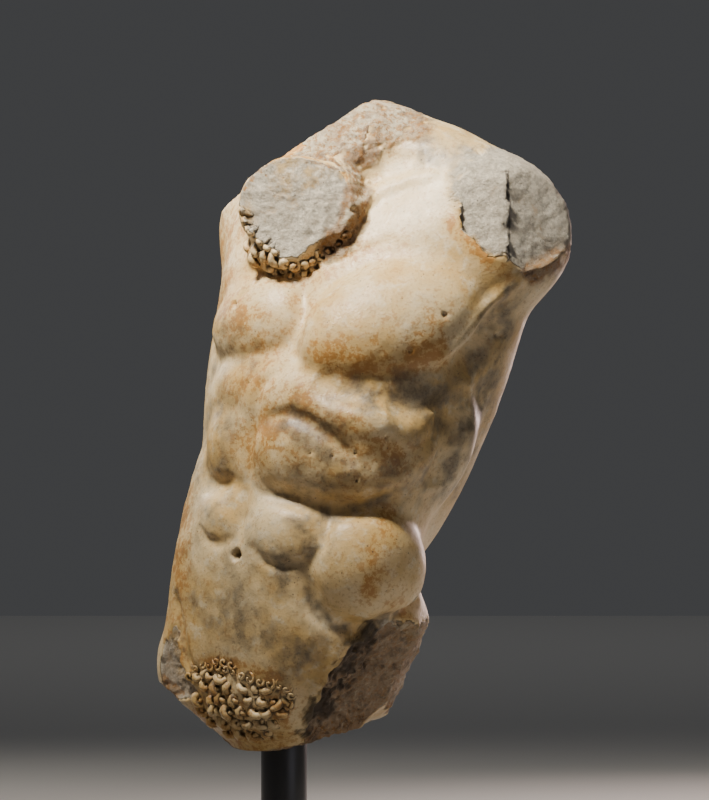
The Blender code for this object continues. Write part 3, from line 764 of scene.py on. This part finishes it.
def blown_stone(field, cells, roughness, holes):
    """The torso's skin with its broken faces, blown out along rays from the body's core."""
    first = cell_box(FIRST_CELLS)
    guide = np.array([vertex.co for vertex in first.verts])
    first.free()
    starts, directions = core_rays(guide)
    reach = outermost(field, starts, directions, np.full(len(guide), float(FARTHEST)))
    tree = KDTree(len(guide))
    for index, place in enumerate(guide):
        tree.insert(place, index)
    tree.balance()
    stone = cell_box(cells)
    places = np.array([vertex.co for vertex in stone.verts])
    nearest = np.array([tree.find(place)[1] for place in places])
    starts, directions = core_rays(places)
    reach = outermost(field, starts, directions, np.minimum(reach[nearest] + HEADROOM, FARTHEST))
    reach = worn(starts + reach[:, None] * directions, starts, reach, holes)
    reach = broken(starts, directions, reach, roughness)
    for vertex, place in zip(stone.verts, starts + reach[:, None] * directions):
        vertex.co = place
    # Folds that hang over leave ragged teeth between one ray and the next
    torn = [edge for edge in stone.edges if edge.calc_length() > LONGEST_EDGE]
    ragged = list({vertex for edge in torn for vertex in edge.verts})
    for _ in range(SMOOTHINGS):
        bmesh.ops.smooth_vert(
            stone, verts=ragged, factor=0.5, use_axis_x=True, use_axis_y=True, use_axis_z=True,
        )
    bmesh.ops.recalc_face_normals(stone, faces=stone.faces)
    return stone


def hair_places():
    """Rows of places, each row shifted by half a step, inside the patch of hair, a little uneven."""
    chance = random.Random(7)
    row_height = CURL_SPACING * math.sqrt(3) / 2
    across_all, heights = zip(*PUBIC_HAIR)
    left, low = min(across_all), min(heights)
    places = []
    for row in range(int((max(heights) - low) / row_height) + 1):
        for step in range(int((max(across_all) - left) / CURL_SPACING) + 1):
            across = left + CURL_SPACING * (step + 0.5 * (row % 2))
            across += chance.uniform(-CURL_SCATTER, CURL_SCATTER)
            height = low + row_height * (row + 0.5) + chance.uniform(-CURL_SCATTER, CURL_SCATTER)
            if beyond_outline(np.array([across]), np.array([height]), PUBIC_HAIR)[0] < 0:
                places.append((across, height))
    return places


def on_stone(shape, place):
    """The point and outward normal where a line straight in from the viewer first meets the stone."""
    point, normal, _, _ = shape.ray_cast(Vector((place[0], -FARTHEST, place[1])), Vector((0, 1, 0)))
    if point is None:
        raise ValueError(f"nothing of the stone lies at {place}")
    return point, normal


def tufts(shape, belly_places):
    """Seat, kind and heading of each lock of hair. Without a heading a lock may point anywhere."""
    found = [(on_stone(shape, place), BELLY_CURL, None) for place in belly_places]
    for lock, places in ((BEARD_CURL, BEARD_CURLS), (BEARD_FINGER, BEARD_FINGERS)):
        for across, height in places:
            heading = math.atan2(across - BEARD_MIDDLE[0], BEARD_MIDDLE[1] - height) + math.pi
            found.append((on_stone(shape, (across, height)), lock, heading))
    chance = random.Random(5)
    for place in HAIR_EDGE:
        found.append((on_stone(shape, place), EDGE_WISP, math.pi + chance.uniform(*WISP_RANGE)))
    return found


def lock_path(size, stem, turns, hand):
    """Places along a hooked lock: a straight stem, then a curl that winds in and rises."""
    path = []
    for number in range(LOCK_POINTS):
        share = number / (LOCK_POINTS - 1)
        if share < STEM_SHARE:
            below = stem * (share / STEM_SHARE - 1)
            path.append(Vector((hand * size, below, STEM_RISE * share - STEM_SUNK)))
            continue
        wound = (share - STEM_SHARE) / (1 - STEM_SHARE)
        angle = turns * 2 * math.pi * wound
        radius = size * (1 - CURL_TIGHTENS * wound)
        across, along = hand * radius * math.cos(angle), radius * math.sin(angle)
        path.append(Vector((across, along, CURL_RISE * wound - CURL_SUNK)))
    return path


def hair_locks(seats, thickness):
    """Hooked curls of hair, each a tapering lock that winds in and up round its own drilled hole."""
    chance = random.Random(11)
    curve = bpy.data.curves.new("locks of hair", "CURVE")
    curve.dimensions = "3D"
    curve.bevel_depth = PART
    curve.bevel_resolution = 1
    curve.use_fill_caps = True
    for (point, normal), lock, heading in seats:
        size = lock.size * chance.uniform(*SIZE_RANGE)
        if heading is None:
            spin = chance.uniform(0, 2 * math.pi)
        else:
            spin = heading + chance.uniform(*HEADING_RANGE)
        side = Vector((0, 0, 1)).cross(normal).normalized()
        upright = Matrix((side, normal.cross(side), normal)).transposed()
        lean = Euler((chance.uniform(*LEAN_RANGE), chance.uniform(*LEAN_RANGE), spin)).to_matrix()
        stem = lock.stem * chance.uniform(*STEM_RANGE)
        turns = lock.turns * chance.uniform(*TURNS_RANGE)
        path = lock_path(size, stem, turns, chance.choice((-1, 1)))
        spline = curve.splines.new("POLY")
        spline.points.add(LOCK_POINTS - 1)
        for number, (at, place) in enumerate(zip(spline.points, path)):
            share = number / (LOCK_POINTS - 1)
            place = point + upright @ lean @ place
            at.co = (*(place * PART + Vector((0, 0, STONE_FOOT))), 1)
            taper = 0.45 + 0.75 * math.sin(math.pi * (0.12 + 0.8 * share))
            at.radius = thickness * lock.thick * taper
    made = bpy.data.objects.new("locks of hair", curve)
    bpy.context.scene.collection.objects.link(made)
    made = baked(made)
    # The tubes' caps come loose from their ends, so they are merged before the locks join the stone
    tubes = bmesh.new()
    tubes.from_mesh(made.data)
    bmesh.ops.remove_doubles(tubes, verts=tubes.verts, dist=1e-6)
    bmesh.ops.recalc_face_normals(tubes, faces=tubes.faces)
    tubes.to_mesh(made.data)
    tubes.free()
    return made


def join(stone, other):
    """Adds another object's mesh to the stone's, and removes that object."""
    both = bmesh.new()
    both.from_mesh(stone.data)
    both.from_mesh(other.data)
    both.to_mesh(stone.data)
    both.free()
    bpy.data.objects.remove(other)


def break_shares(points, normals, depth):
    """How far each point shows fresh and weathered broken stone, by the broken face that it is on."""
    fresh, old = np.zeros(len(points)), np.zeros(len(points))
    least, full = BREAK_DEPTHS
    for face in BREAKS:
        facing = unit(face.facing)
        shown = np.abs((points - face.point) @ facing) < BREAK_NEAR + BREAK_NEAR_ROUGH * face.rough
        shown &= normals @ facing > 0.25
        if face.outline:
            shown &= beyond_outline(points[:, 0], points[:, 2], face.outline) < BREAK_OVER
        share = np.clip((depth - least) / (full - least), 0, 1) * shown
        fresh = np.maximum(fresh, share * face.fresh)
        old = np.maximum(old, share * (1 - face.fresh))
    return fresh, old


def hollowness(mesh, places, normals):
    """How far the stone nearby closes off each place's outlook, from 0 in the open to 1."""
    tree = BVHTree.FromPolygons(
        [Vector(place) for place in places], [polygon.vertices[:] for polygon in mesh.polygons],
    )
    reach = HOLLOW_REACH * PART
    hollow = np.zeros(len(places))
    for index, (place, normal) in enumerate(zip(places, normals)):
        normal = Vector(normal)
        turn = normal.to_track_quat("Z", "Y").to_matrix()
        start = Vector(place) + normal * HOLLOW_START * PART
        for ray in OUTLOOK:
            distance = tree.ray_cast(start, turn @ ray, reach)[3]
            if distance is not None:
                hollow[index] += 1 - distance / reach
    return hollow / len(OUTLOOK)


def paint(torso, field):
    """Point attributes that the marble reads: how broken, stained, dirty and hollow each place is, and where
    shade is painted.
    """
    mesh = torso.data
    count = len(mesh.vertices)
    places, normals = np.empty(count * 3), np.empty(count * 3)
    mesh.vertices.foreach_get("co", places)
    mesh.vertices.foreach_get("normal", normals)
    places, normals = places.reshape(-1, 3), normals.reshape(-1, 3)
    points = (places - (0, 0, STONE_FOOT)) / PART
    fresh, old = break_shares(points, normals, -field(points))
    painted = {kind: np.zeros(count) for kind in STAINS_AND_SHADE}
    painted["fresh break"], painted["old break"] = fresh, old
    seen = np.clip(0.5 - 2 * normals[:, 1], 0, 1)
    uneven = 0.75 + 0.5 * random_waves(points, 14, 31) + 0.35 * random_waves(points, 5, 32)
    for kind, stains in STAINS_AND_SHADE.items():
        for stain in stains:
            painted[kind] = np.maximum(painted[kind], stain_and_shade_strength(points, *stain) * seen * uneven)
    # The sides that the stains don't reach are patchy all over
    for kind, wide, narrow, seed in (("ochre", 60, 18, 33), ("grime_and_shade", 75, 22, 35)):
        patchy = 0.5 * random_waves(points, wide, seed) + 0.4 * random_waves(points, narrow, seed + 1)
        painted[kind] = np.maximum(painted[kind], (1 - seen) * np.clip(patchy, 0, 1))
    # How closed off each place is, which the marble paints darker as shade
    painted["hollow"] = hollowness(mesh, places, normals)
    for name, value in painted.items():
        layer = mesh.attributes.new(name, "FLOAT", "POINT")
        layer.data.foreach_set("value", np.clip(value, 0, 1).astype(np.float32))


def linear(colour):
    """An sRGB hex colour as Blender's linear red, green, blue and alpha."""
    parts = [int(colour[i:i + 2], 16) / 255 for i in (1, 3, 5)]
    return (*(p / 12.92 if p <= 0.04045 else ((p + 0.055) / 1.055) ** 2.4 for p in parts), 1)


def add_node(tree, kind, values, out=0):
    """Adds a node with its settings and links, and gives the named or numbered output.

    A value sets the node's own property of that name, or the input with that name or number. Where
    the value is another node's output, that input is linked to it.
    """
    made = tree.nodes.new("ShaderNode" + kind)
    for name, value in values.items():
        if isinstance(value, bpy.types.NodeSocket):
            tree.links.new(value, made.inputs[name])
        elif isinstance(name, str) and hasattr(made, name):
            setattr(made, name, value)
        else:
            made.inputs[name].default_value = value
    return made.outputs[out]


def new_material(name):
    """A material, its node tree and its Principled BSDF, with nothing set yet."""
    material = bpy.data.materials.new(name)
    material.use_nodes = True
    return material, material.node_tree, material.node_tree.nodes["Principled BSDF"]


def layered(tree, colour, layers):
    """The colour with layers laid over it.

    A layer shows where its stain, times a weight, and its pattern together rise from a low to a high
    value, and it covers up to its strength. A low value above the high one turns that round.
    """
    for over, stain, weight, pattern, low, high, strength in layers:
        shown = add_node(tree, "Math", {"operation": "MULTIPLY_ADD", 0: stain, 1: weight, 2: pattern})
        share = add_node(tree, "MapRange", {
            "interpolation_type": "SMOOTHSTEP", 0: shown, 1: low, 2: high, 3: 0.0, 4: strength,
        })
        colour = add_node(tree, "Mix", {"data_type": "RGBA", 0: share, 6: colour, 7: over}, 2)
    return colour


def weathered_marble(colours):
    """Aged white marble: a worn, faintly polished skin, pitted and stained, and sugary where broken.

    The skin is warm cream with wide soft mottling. Iron stains it ochre, dirt greys it in places,
    and burial left dark pits of 1 to 2 mm. Shade is painted darker into the hollows, the creases and
    the flank. Broken faces show crystals of 1 to 3 mm.
    """
    material, tree, shader = new_material("weathered marble")
    place = add_node(tree, "TexCoord", {}, "Object")
    noise = {
        name: add_node(tree, "TexNoise", {
            "Vector": place, "Scale": 1000 / pattern.size_mm, "Detail": pattern.detail,
            "Roughness": pattern.roughness,
        }, "Fac")
        for name, pattern in PATTERNS.items()
    }
    # Painted stains, and the painted shade in hollows, creases and down the flank
    stain = {
        name: add_node(tree, "Attribute", {"attribute_name": name}, "Fac")
        for name in (*STAINS_AND_SHADE, "hollow")
    }
    crystals = add_node(tree, "TexVoronoi", {"Vector": place, "Scale": 1000 / CRYSTAL_MM}, "Color")
    grain = add_node(tree, "SeparateColor", {0: crystals})

    # Specks are stronger where iron stains the skin, and brown shade is weaker where it stains a break
    speckled = add_node(tree, "MapRange", {
        "interpolation_type": "SMOOTHSTEP", 0: stain["ochre"], 1: 0.0, 2: 0.7, 3: 0.35, 4: 0.9,
    })
    shaded = add_node(tree, "MapRange", {
        "interpolation_type": "SMOOTHSTEP", 0: stain["ochre"], 1: 0.2, 2: 0.8, 3: 0.85, 4: 0.35,
    })

    # Soot runs down the hewn band in strands, and fills pits that come in groups
    along = add_node(tree, "Mapping", {
        "vector_type": "TEXTURE", "Vector": place, "Rotation": (0, math.radians(36), 0), "Scale": (1, 1, 7),
    })
    strands = add_node(tree, "TexNoise", {
        "Vector": along, "Scale": 1000 / STRAND_MM, "Detail": 6.0, "Roughness": 0.7,
    }, "Fac")
    from_pit = add_node(tree, "TexVoronoi", {"Vector": place, "Scale": 1000 / PIT_SPACING_MM}, "Distance")
    pit_reach = add_node(tree, "MapRange", {
        "interpolation_type": "SMOOTHSTEP", 0: noise["pitted places"], 1: 0.4, 2: 0.75, 3: 0.02, 4: 0.17,
    })
    pit = add_node(tree, "Math", {"operation": "LESS_THAN", 0: from_pit, 1: pit_reach})

    # Fresh breaks are sugary, with dirt in their crevices, and rusty where iron reached them
    fresh_stone = layered(tree, colours.fresh_break, (
        (colours.fresh_shade, 0.0, 1.0, grain, 0.3, 1.0, 0.6),
        (colours.grime_and_shade, 0.0, 1.0, noise["crevices"], 0.5, 0.38, 0.4),
        (colours.fresh_shade, 0.0, 1.0, noise["patches"], 0.42, 0.6, 0.6),
        (colours.old_break, 0.0, 1.0, noise["patches"], 0.55, 0.7, 0.5),
        (colours.warm_cream, stain["ochre"], 0.5, noise["patches"], 0.6, 0.9, 0.8),
    ))
    old_stone = layered(tree, colours.old_break, (
        (colours.pale, stain["ochre"], 1.0, 0.0, 0.2, 0.8, 0.85),
        (colours.ochre, 0.0, 1.0, noise["rust"], 0.47, 0.58, 0.8),
        (colours.pale, 0.0, 1.0, noise["pale specks"], 0.54, 0.66, 0.5),
        (colours.old_shade, 0.0, 1.0, noise["shade"], 0.5, 0.64, shaded),
    ))
    colour = layered(tree, colours.cream, (
        # The clean skin's soft clouds and worn pale places
        (colours.warm_cream, 0.0, 1.0, noise["clouds"], 0.38, 0.66, 1.0),
        (colours.pale, 0.0, 1.0, noise["mottle"], 0.5, 0.7, 0.6),
        # Iron stains: a warm film, a blush, and specks that run together where the stain is strong
        (colours.warm_cream, stain["ochre"], 1.0, noise["mottle"], 0.6, 1.2, 0.9),
        (colours.ochre, stain["ochre"], 0.55, noise["mottle"], 0.68, 1.08, 0.36),
        (colours.grime_and_shade, 0.0, 1.0, noise["grit"], 0.45, 0.75, 0.2),
        (colours.ochre, stain["ochre"], 0.15, noise["specks"], 0.54, 0.62, speckled),
        # Dirt, and painted shade under the breast, in the creases and down the flank: a grey-brown film with
        # darker flecks
        (colours.grime_and_shade, stain["grime_and_shade"], 3.333, noise["mottle"], 1.0, 3.833, 0.8),
        (colours.soot_and_shade, stain["grime_and_shade"], 0.16, noise["flecks"], 0.63, 0.72, 0.32),
        # Broken faces, then black dirt in strands and pits, a dark line along a crack, and painted shade in
        # the hollows and along the shoulder's ledge
        (fresh_stone, stain["fresh break"], 1.0, 0.0, 0.1, 0.5, 1.0),
        (old_stone, stain["old break"], 1.0, 0.0, 0.1, 0.5, 1.0),
        # Black strands on the hewn band, and a painted shadow line along the shoulder's ledge
        (colours.soot_and_shade, stain["streaks_and_shade"], 1.0, strands, 0.85, 1.3, 0.85),
        (colours.soot_and_shade, pit, 1.0, 0.0, 0.0, 1.0, 0.6),
        # Painted shade: the hollows that nearby stone closes off are darkened
        (colours.soot_and_shade, stain["hollow"], 1.0, 0.0, 0.16, 0.55, 0.74),
    ))
    tree.links.new(colour, shader.inputs["Base Color"])

    # The worn skin keeps a soft polish, which breaks and hollows don't have
    most_broken = add_node(tree, "Math", {
        "operation": "MAXIMUM", 0: stain["fresh break"], 1: stain["old break"],
    })
    broken_share = add_node(tree, "MapRange", {
        "interpolation_type": "SMOOTHSTEP", 0: most_broken, 1: 0.1, 2: 0.5,
    })
    rough = add_node(tree, "MapRange", {
        "interpolation_type": "SMOOTHSTEP", 0: noise["mottle"], 1: 0.3, 2: 0.7, 3: 0.36, 4: 0.54,
    })
    hollow_share = add_node(tree, "MapRange", {
        "interpolation_type": "SMOOTHSTEP", 0: stain["hollow"], 1: 0.16, 2: 0.55,
    })
    for dull, added in ((broken_share, 0.3), (hollow_share, 0.2)):
        rough = add_node(tree, "Math", {"operation": "MULTIPLY_ADD", 0: dull, 1: added, 2: rough})
    tree.links.new(rough, shader.inputs["Roughness"])

    # Heights in millimetres: the worn skin is nearly smooth, and breaks and streaks are rough
    skin_height = add_node(tree, "Math", {"operation": "MULTIPLY", 0: noise["grit"], 1: 0.35})
    for pattern, tall in ((noise["mottle"], 0.7), (pit, -0.6)):
        skin_height = add_node(tree, "Math", {
            "operation": "MULTIPLY_ADD", 0: pattern, 1: tall, 2: skin_height,
        })
    break_height = add_node(tree, "Math", {
        "operation": "MULTIPLY_ADD", 0: noise["lumps"], 1: 8.0, 2: grain,
    })
    height = add_node(tree, "Mix", {
        "data_type": "FLOAT", 0: broken_share, 2: skin_height, 3: break_height,
    })
    streaked = add_node(tree, "Math", {"operation": "ADD", 0: stain["streaks_and_shade"], 1: strands})
    streak_height = add_node(tree, "MapRange", {
        "interpolation_type": "SMOOTHSTEP", 0: streaked, 1: 0.85, 2: 1.3, 3: 0.0, 4: 9.0,
    })
    height = add_node(tree, "Math", {
        "operation": "MULTIPLY_ADD", 0: streak_height, 1: strands, 2: height,
    })
    normal = add_node(tree, "Bump", {"Strength": 0.9, "Distance": PART, "Height": height}, "Normal")
    tree.links.new(normal, shader.inputs["Normal"])
    # Light goes a few millimetres into the stone, red furthest
    shader.inputs["IOR"].default_value = 1.49
    shader.inputs["Subsurface Weight"].default_value = 0.06
    shader.inputs["Subsurface Radius"].default_value = (1.0, 0.7, 0.45)
    shader.inputs["Subsurface Scale"].default_value = 0.004
    return material


def dark_steel(name, colour, roughness, brushed_mm):
    """Mild steel, blackened and waxed: dark, with a satin sheen and faint marks of the finish."""
    material, tree, shader = new_material(name)
    place = add_node(tree, "TexCoord", {}, "Object")
    # A lathe or brush leaves marks round the bar far closer than this; they are drawn wider to show
    stretched = add_node(tree, "Mapping", {"Vector": place, "Scale": (1, 1, 9)})
    marks = add_node(tree, "TexNoise", {
        "Vector": stretched, "Scale": 1000 / brushed_mm, "Detail": 3.0,
    }, "Fac")
    clouds = add_node(tree, "TexNoise", {"Vector": place, "Scale": 1000 / WAX_CLOUD_MM, "Detail": 4.0}, "Fac")
    rough = add_node(tree, "MapRange", {
        0: clouds, 1: 0.3, 2: 0.7, 3: roughness - 0.06, 4: roughness + 0.08,
    })
    normal = add_node(tree, "Bump", {"Strength": 0.25, "Distance": 0.0002, "Height": marks}, "Normal")
    tree.links.new(rough, shader.inputs["Roughness"])
    tree.links.new(normal, shader.inputs["Normal"])
    shader.inputs["Base Color"].default_value = colour
    shader.inputs["Metallic"].default_value = 1.0
    return material


def colour_property(name, description, colour):
    """A colour that a user can change, given as an sRGB hex value."""
    return bpy.props.FloatVectorProperty(
        name=name, description=description, subtype="COLOR", size=4, min=0.0, max=1.0,
        default=linear(colour),
    )


class MarbleColours(bpy.types.PropertyGroup):
    cream: colour_property("Cream", "The clean skin", "#DCC497")
    warm_cream: colour_property("Warm cream", "Warmer parts of the skin", "#CAA768")
    pale: colour_property("Pale", "Worn bright places", "#E2D6B8")
    ochre: colour_property("Ochre", "Iron stains", "#AD7A3A")
    # Also the painted shade under the breast, in the creases and down the flank
    grime_and_shade: colour_property("Grime", "Dirt on the skin", "#6B604D")
    # Also the painted shade in hollows and along the shoulder's ledge
    soot_and_shade: colour_property("Soot", "Black dirt in pits and hollows", "#3F352C")
    fresh_break: colour_property("Fresh break", "Newly broken marble", "#DED3BE")
    fresh_shade: colour_property("Fresh shade", "Darker crystals of a fresh break", "#ADA28E")
    old_break: colour_property("Old break", "Weathered broken marble", "#AE9273")
    old_shade: colour_property("Old shade", "Darker parts of weathered breaks", "#6F5742")


class TorsoSettings(bpy.types.PropertyGroup):
    break_roughness: bpy.props.FloatProperty(
        name="Break roughness", description="How rough the broken faces are, 1 as photographed",
        default=1.0, min=0.0, max=2.0, subtype="FACTOR",
    )
    lock_thickness: bpy.props.FloatProperty(
        name="Lock thickness", description="Half thickness of a lock of hair, in parts",
        default=3.4, min=0.5, max=4.0,
    )


class SteelSettings(bpy.types.PropertyGroup):
    post_diameter: bpy.props.FloatProperty(
        name="Post diameter", description="The post's diameter", subtype="DISTANCE", unit="LENGTH",
        default=POST_BOX[1].x - POST_BOX[0].x,
    )
    edge: bpy.props.FloatProperty(
        name="Edge", description="How far the steel's edges are rounded", subtype="DISTANCE",
        unit="LENGTH", default=0.002,
    )
    post_colour: colour_property("Post colour", "The post's steel", "#4B4B4C")
    plate_colour: colour_property("Plate colour", "The plate's steel", "#3A3835")


class StageSettings(bpy.types.PropertyGroup):
    floor_size: bpy.props.FloatProperty(
        name="Floor size", description="Side of the floor", subtype="DISTANCE", unit="LENGTH", default=14.0,
    )
    camera_distance: bpy.props.FloatProperty(
        name="Camera distance", description="From the camera to the stone", subtype="DISTANCE",
        unit="LENGTH", default=5.0,
    )
    brightness: bpy.props.FloatProperty(
        name="Brightness", description="Share of each lamp's power, 1 as photographed",
        default=1.0, min=0.0, soft_max=2.0, subtype="FACTOR",
    )
    floor_colour: colour_property("Floor colour", "The pale matt floor", "#E6E4E0")
    room_colour: colour_property("Room colour", "The light that fills the room", "#D9DBDF")


class TORSO_OT_marble(bpy.types.Operator):
    """Carve the broken marble torso"""

    bl_idname = "torso.marble"
    bl_label = "Marble torso"

    def execute(self, context):
        settings = context.scene.torso_stone
        muscles = seated_muscles()
        lines = seated_lines(muscles)

        def field(points):
            return skin(points, muscles, lines)

        curls = hair_places()
        holes = [(seat(field, *place, -1), *CURL_HOLE) for place in (*curls, *BEARD_CURLS)]
        for hole in HOLES:
            holes.append((seat(field, hole.across, hole.height, -1), hole.radius, hole.depth))
        stone = blown_stone(field, FINE_CELLS, settings.break_roughness, holes)
        shape = BVHTree.FromBMesh(stone)
        bmesh.ops.scale(stone, vec=(PART, PART, PART), verts=stone.verts)
        bmesh.ops.translate(stone, vec=(0, 0, STONE_FOOT), verts=stone.verts)
        torso = new_object("weathered_torso", stone)
        thinned = torso.modifiers.new("thinned where smooth", "DECIMATE")
        thinned.ratio = SHARE_KEPT
        torso = baked(torso)
        join(torso, hair_locks(tufts(shape, curls), settings.lock_thickness))
        paint(torso, field)
        torso.data.materials.clear()
        torso.data.materials.append(weathered_marble(context.scene.torso_colours))
        torso.data.shade_smooth()
        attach(torso, "root")
        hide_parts("marble_torso")
        return {"FINISHED"}


def bevelled(bm, width, steps=3):
    """Rounds every edge where two faces meet at more than 30 degrees."""
    sharp = [edge for edge in bm.edges if edge.calc_face_angle(0) > math.radians(30)]
    bmesh.ops.bevel(
        bm, geom=sharp, offset=width, offset_type="OFFSET", segments=steps, profile=0.5,
        affect="EDGES", material=-1,
    )


def finish_steel(made, material, node):
    """Gives a steel piece its material and lets it stand in for its CAD solid."""
    made.data.materials.append(material)
    made.data.shade_smooth()
    made.data.set_sharp_from_angle(angle=math.radians(35))
    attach(made, "root")
    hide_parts(node)


class TORSO_OT_post(bpy.types.Operator):
    """Turn the round steel post that carries the stone"""

    bl_idname = "torso.post"
    bl_label = "Steel post"

    def execute(self, context):
        settings = context.scene.torso_steel
        low, high = POST_BOX[0].z, POST_BOX[1].z
        rod = bmesh.new()
        bmesh.ops.create_cone(
            rod, cap_ends=True, segments=96, radius1=settings.post_diameter / 2,
            radius2=settings.post_diameter / 2, depth=high - low,
        )
        bmesh.ops.translate(rod, verts=rod.verts, vec=(0, 0, (low + high) / 2))
        bevelled(rod, settings.edge / 2)
        steel = dark_steel("satin steel", settings.post_colour, 0.34, 5)
        finish_steel(new_object("steel_post", rod), steel, "mounting_post")
        return {"FINISHED"}


class TORSO_OT_plate(bpy.types.Operator):
    """Cut the low steel plate that the post stands in"""

    bl_idname = "torso.plate"
    bl_label = "Steel plate"

    def execute(self, context):
        settings = context.scene.torso_steel
        low, high = PLATE_BOX
        slab = bmesh.new()
        bmesh.ops.create_cube(slab, size=1)
        bmesh.ops.scale(slab, verts=slab.verts, vec=high - low)
        bmesh.ops.translate(slab, verts=slab.verts, vec=(high + low) / 2)
        bevelled(slab, settings.edge)
        steel = dark_steel("blackened steel", settings.plate_colour, 0.46, 12)
        finish_steel(new_object("steel_plate", slab), steel, "base_plate")
        return {"FINISHED"}


class TORSO_OT_stage(bpy.types.Operator):
    """Lay the floor, hang the lights and set the camera"""

    bl_idname = "torso.stage"
    bl_label = "Floor, lights and camera"

    def execute(self, context):
        settings = context.scene.torso_stage
        scene = context.scene
        ground = bmesh.new()
        bmesh.ops.create_grid(ground, x_segments=1, y_segments=1, size=settings.floor_size / 2)
        floor = new_object("floor", ground)
        # Painted board: pale and matt, with next to no gloss
        material, _, shader = new_material("pale matt floor")
        shader.inputs["Base Color"].default_value = settings.floor_colour
        shader.inputs["Roughness"].default_value = 0.9
        floor.data.materials.append(material)
        world = bpy.data.worlds.new("soft studio")
        world.use_nodes = True
        background = world.node_tree.nodes["Background"]
        background.inputs["Color"].default_value = settings.room_colour
        background.inputs["Strength"].default_value = 0.08
        scene.world = world
        for lamp in LAMPS:
            light = bpy.data.lights.new(lamp.name, "AREA")
            light.size = lamp.size
            light.spread = math.radians(lamp.spread)
            light.energy = lamp.watts * settings.brightness
            light.color = linear(lamp.colour)[:3]
            hung = bpy.data.objects.new(lamp.name, light)
            hung.location = lamp.place
            toward = Vector(lamp.aim) - Vector(lamp.place)
            hung.rotation_euler = toward.to_track_quat("-Z", "Y").to_euler()
            scene.collection.objects.link(hung)
        camera = bpy.data.cameras.new("camera")
        camera.lens = camera.sensor_width * settings.camera_distance / VIEW_HEIGHT
        eye = bpy.data.objects.new("camera", camera)
        eye.location = (VIEW_ACROSS, -settings.camera_distance, STONE_FOOT + VIEW_UP)
        eye.rotation_euler = (math.pi / 2, 0, 0)
        scene.collection.objects.link(eye)
        scene.camera = eye
        return {"FINISHED"}


class TORSO_PT_panel(bpy.types.Panel):
    """The statue's pieces and their settings"""

    bl_label = "Broken marble torso"
    bl_idname = "TORSO_PT_panel"
    bl_space_type = "VIEW_3D"
    bl_region_type = "UI"
    bl_category = "Torso"

    def draw(self, context):
        scene = context.scene
        for operators, groups in (
            (("torso.marble",), (scene.torso_stone, scene.torso_colours)),
            (("torso.post", "torso.plate"), (scene.torso_steel,)),
            (("torso.stage",), (scene.torso_stage,)),
        ):
            column = self.layout.column()
            for operator in operators:
                column.operator(operator)
            for group in groups:
                for name in type(group).__annotations__:
                    column.prop(group, name)


CLASSES = (
    TorsoSettings, MarbleColours, SteelSettings, StageSettings,
    TORSO_OT_marble, TORSO_OT_post, TORSO_OT_plate, TORSO_OT_stage, TORSO_PT_panel,
)


def register():
    for one in CLASSES:
        bpy.utils.register_class(one)
    bpy.types.Scene.torso_stone = bpy.props.PointerProperty(type=TorsoSettings)
    bpy.types.Scene.torso_colours = bpy.props.PointerProperty(type=MarbleColours)
    bpy.types.Scene.torso_steel = bpy.props.PointerProperty(type=SteelSettings)
    bpy.types.Scene.torso_stage = bpy.props.PointerProperty(type=StageSettings)


def unregister():
    del bpy.types.Scene.torso_stage
    del bpy.types.Scene.torso_steel
    del bpy.types.Scene.torso_colours
    del bpy.types.Scene.torso_stone
    for one in reversed(CLASSES):
        bpy.utils.unregister_class(one)


def main():
    register()
    bpy.ops.torso.stage()
    bpy.ops.torso.post()
    bpy.ops.torso.plate()
    bpy.ops.torso.marble()


if __name__ == "__main__":
    main()
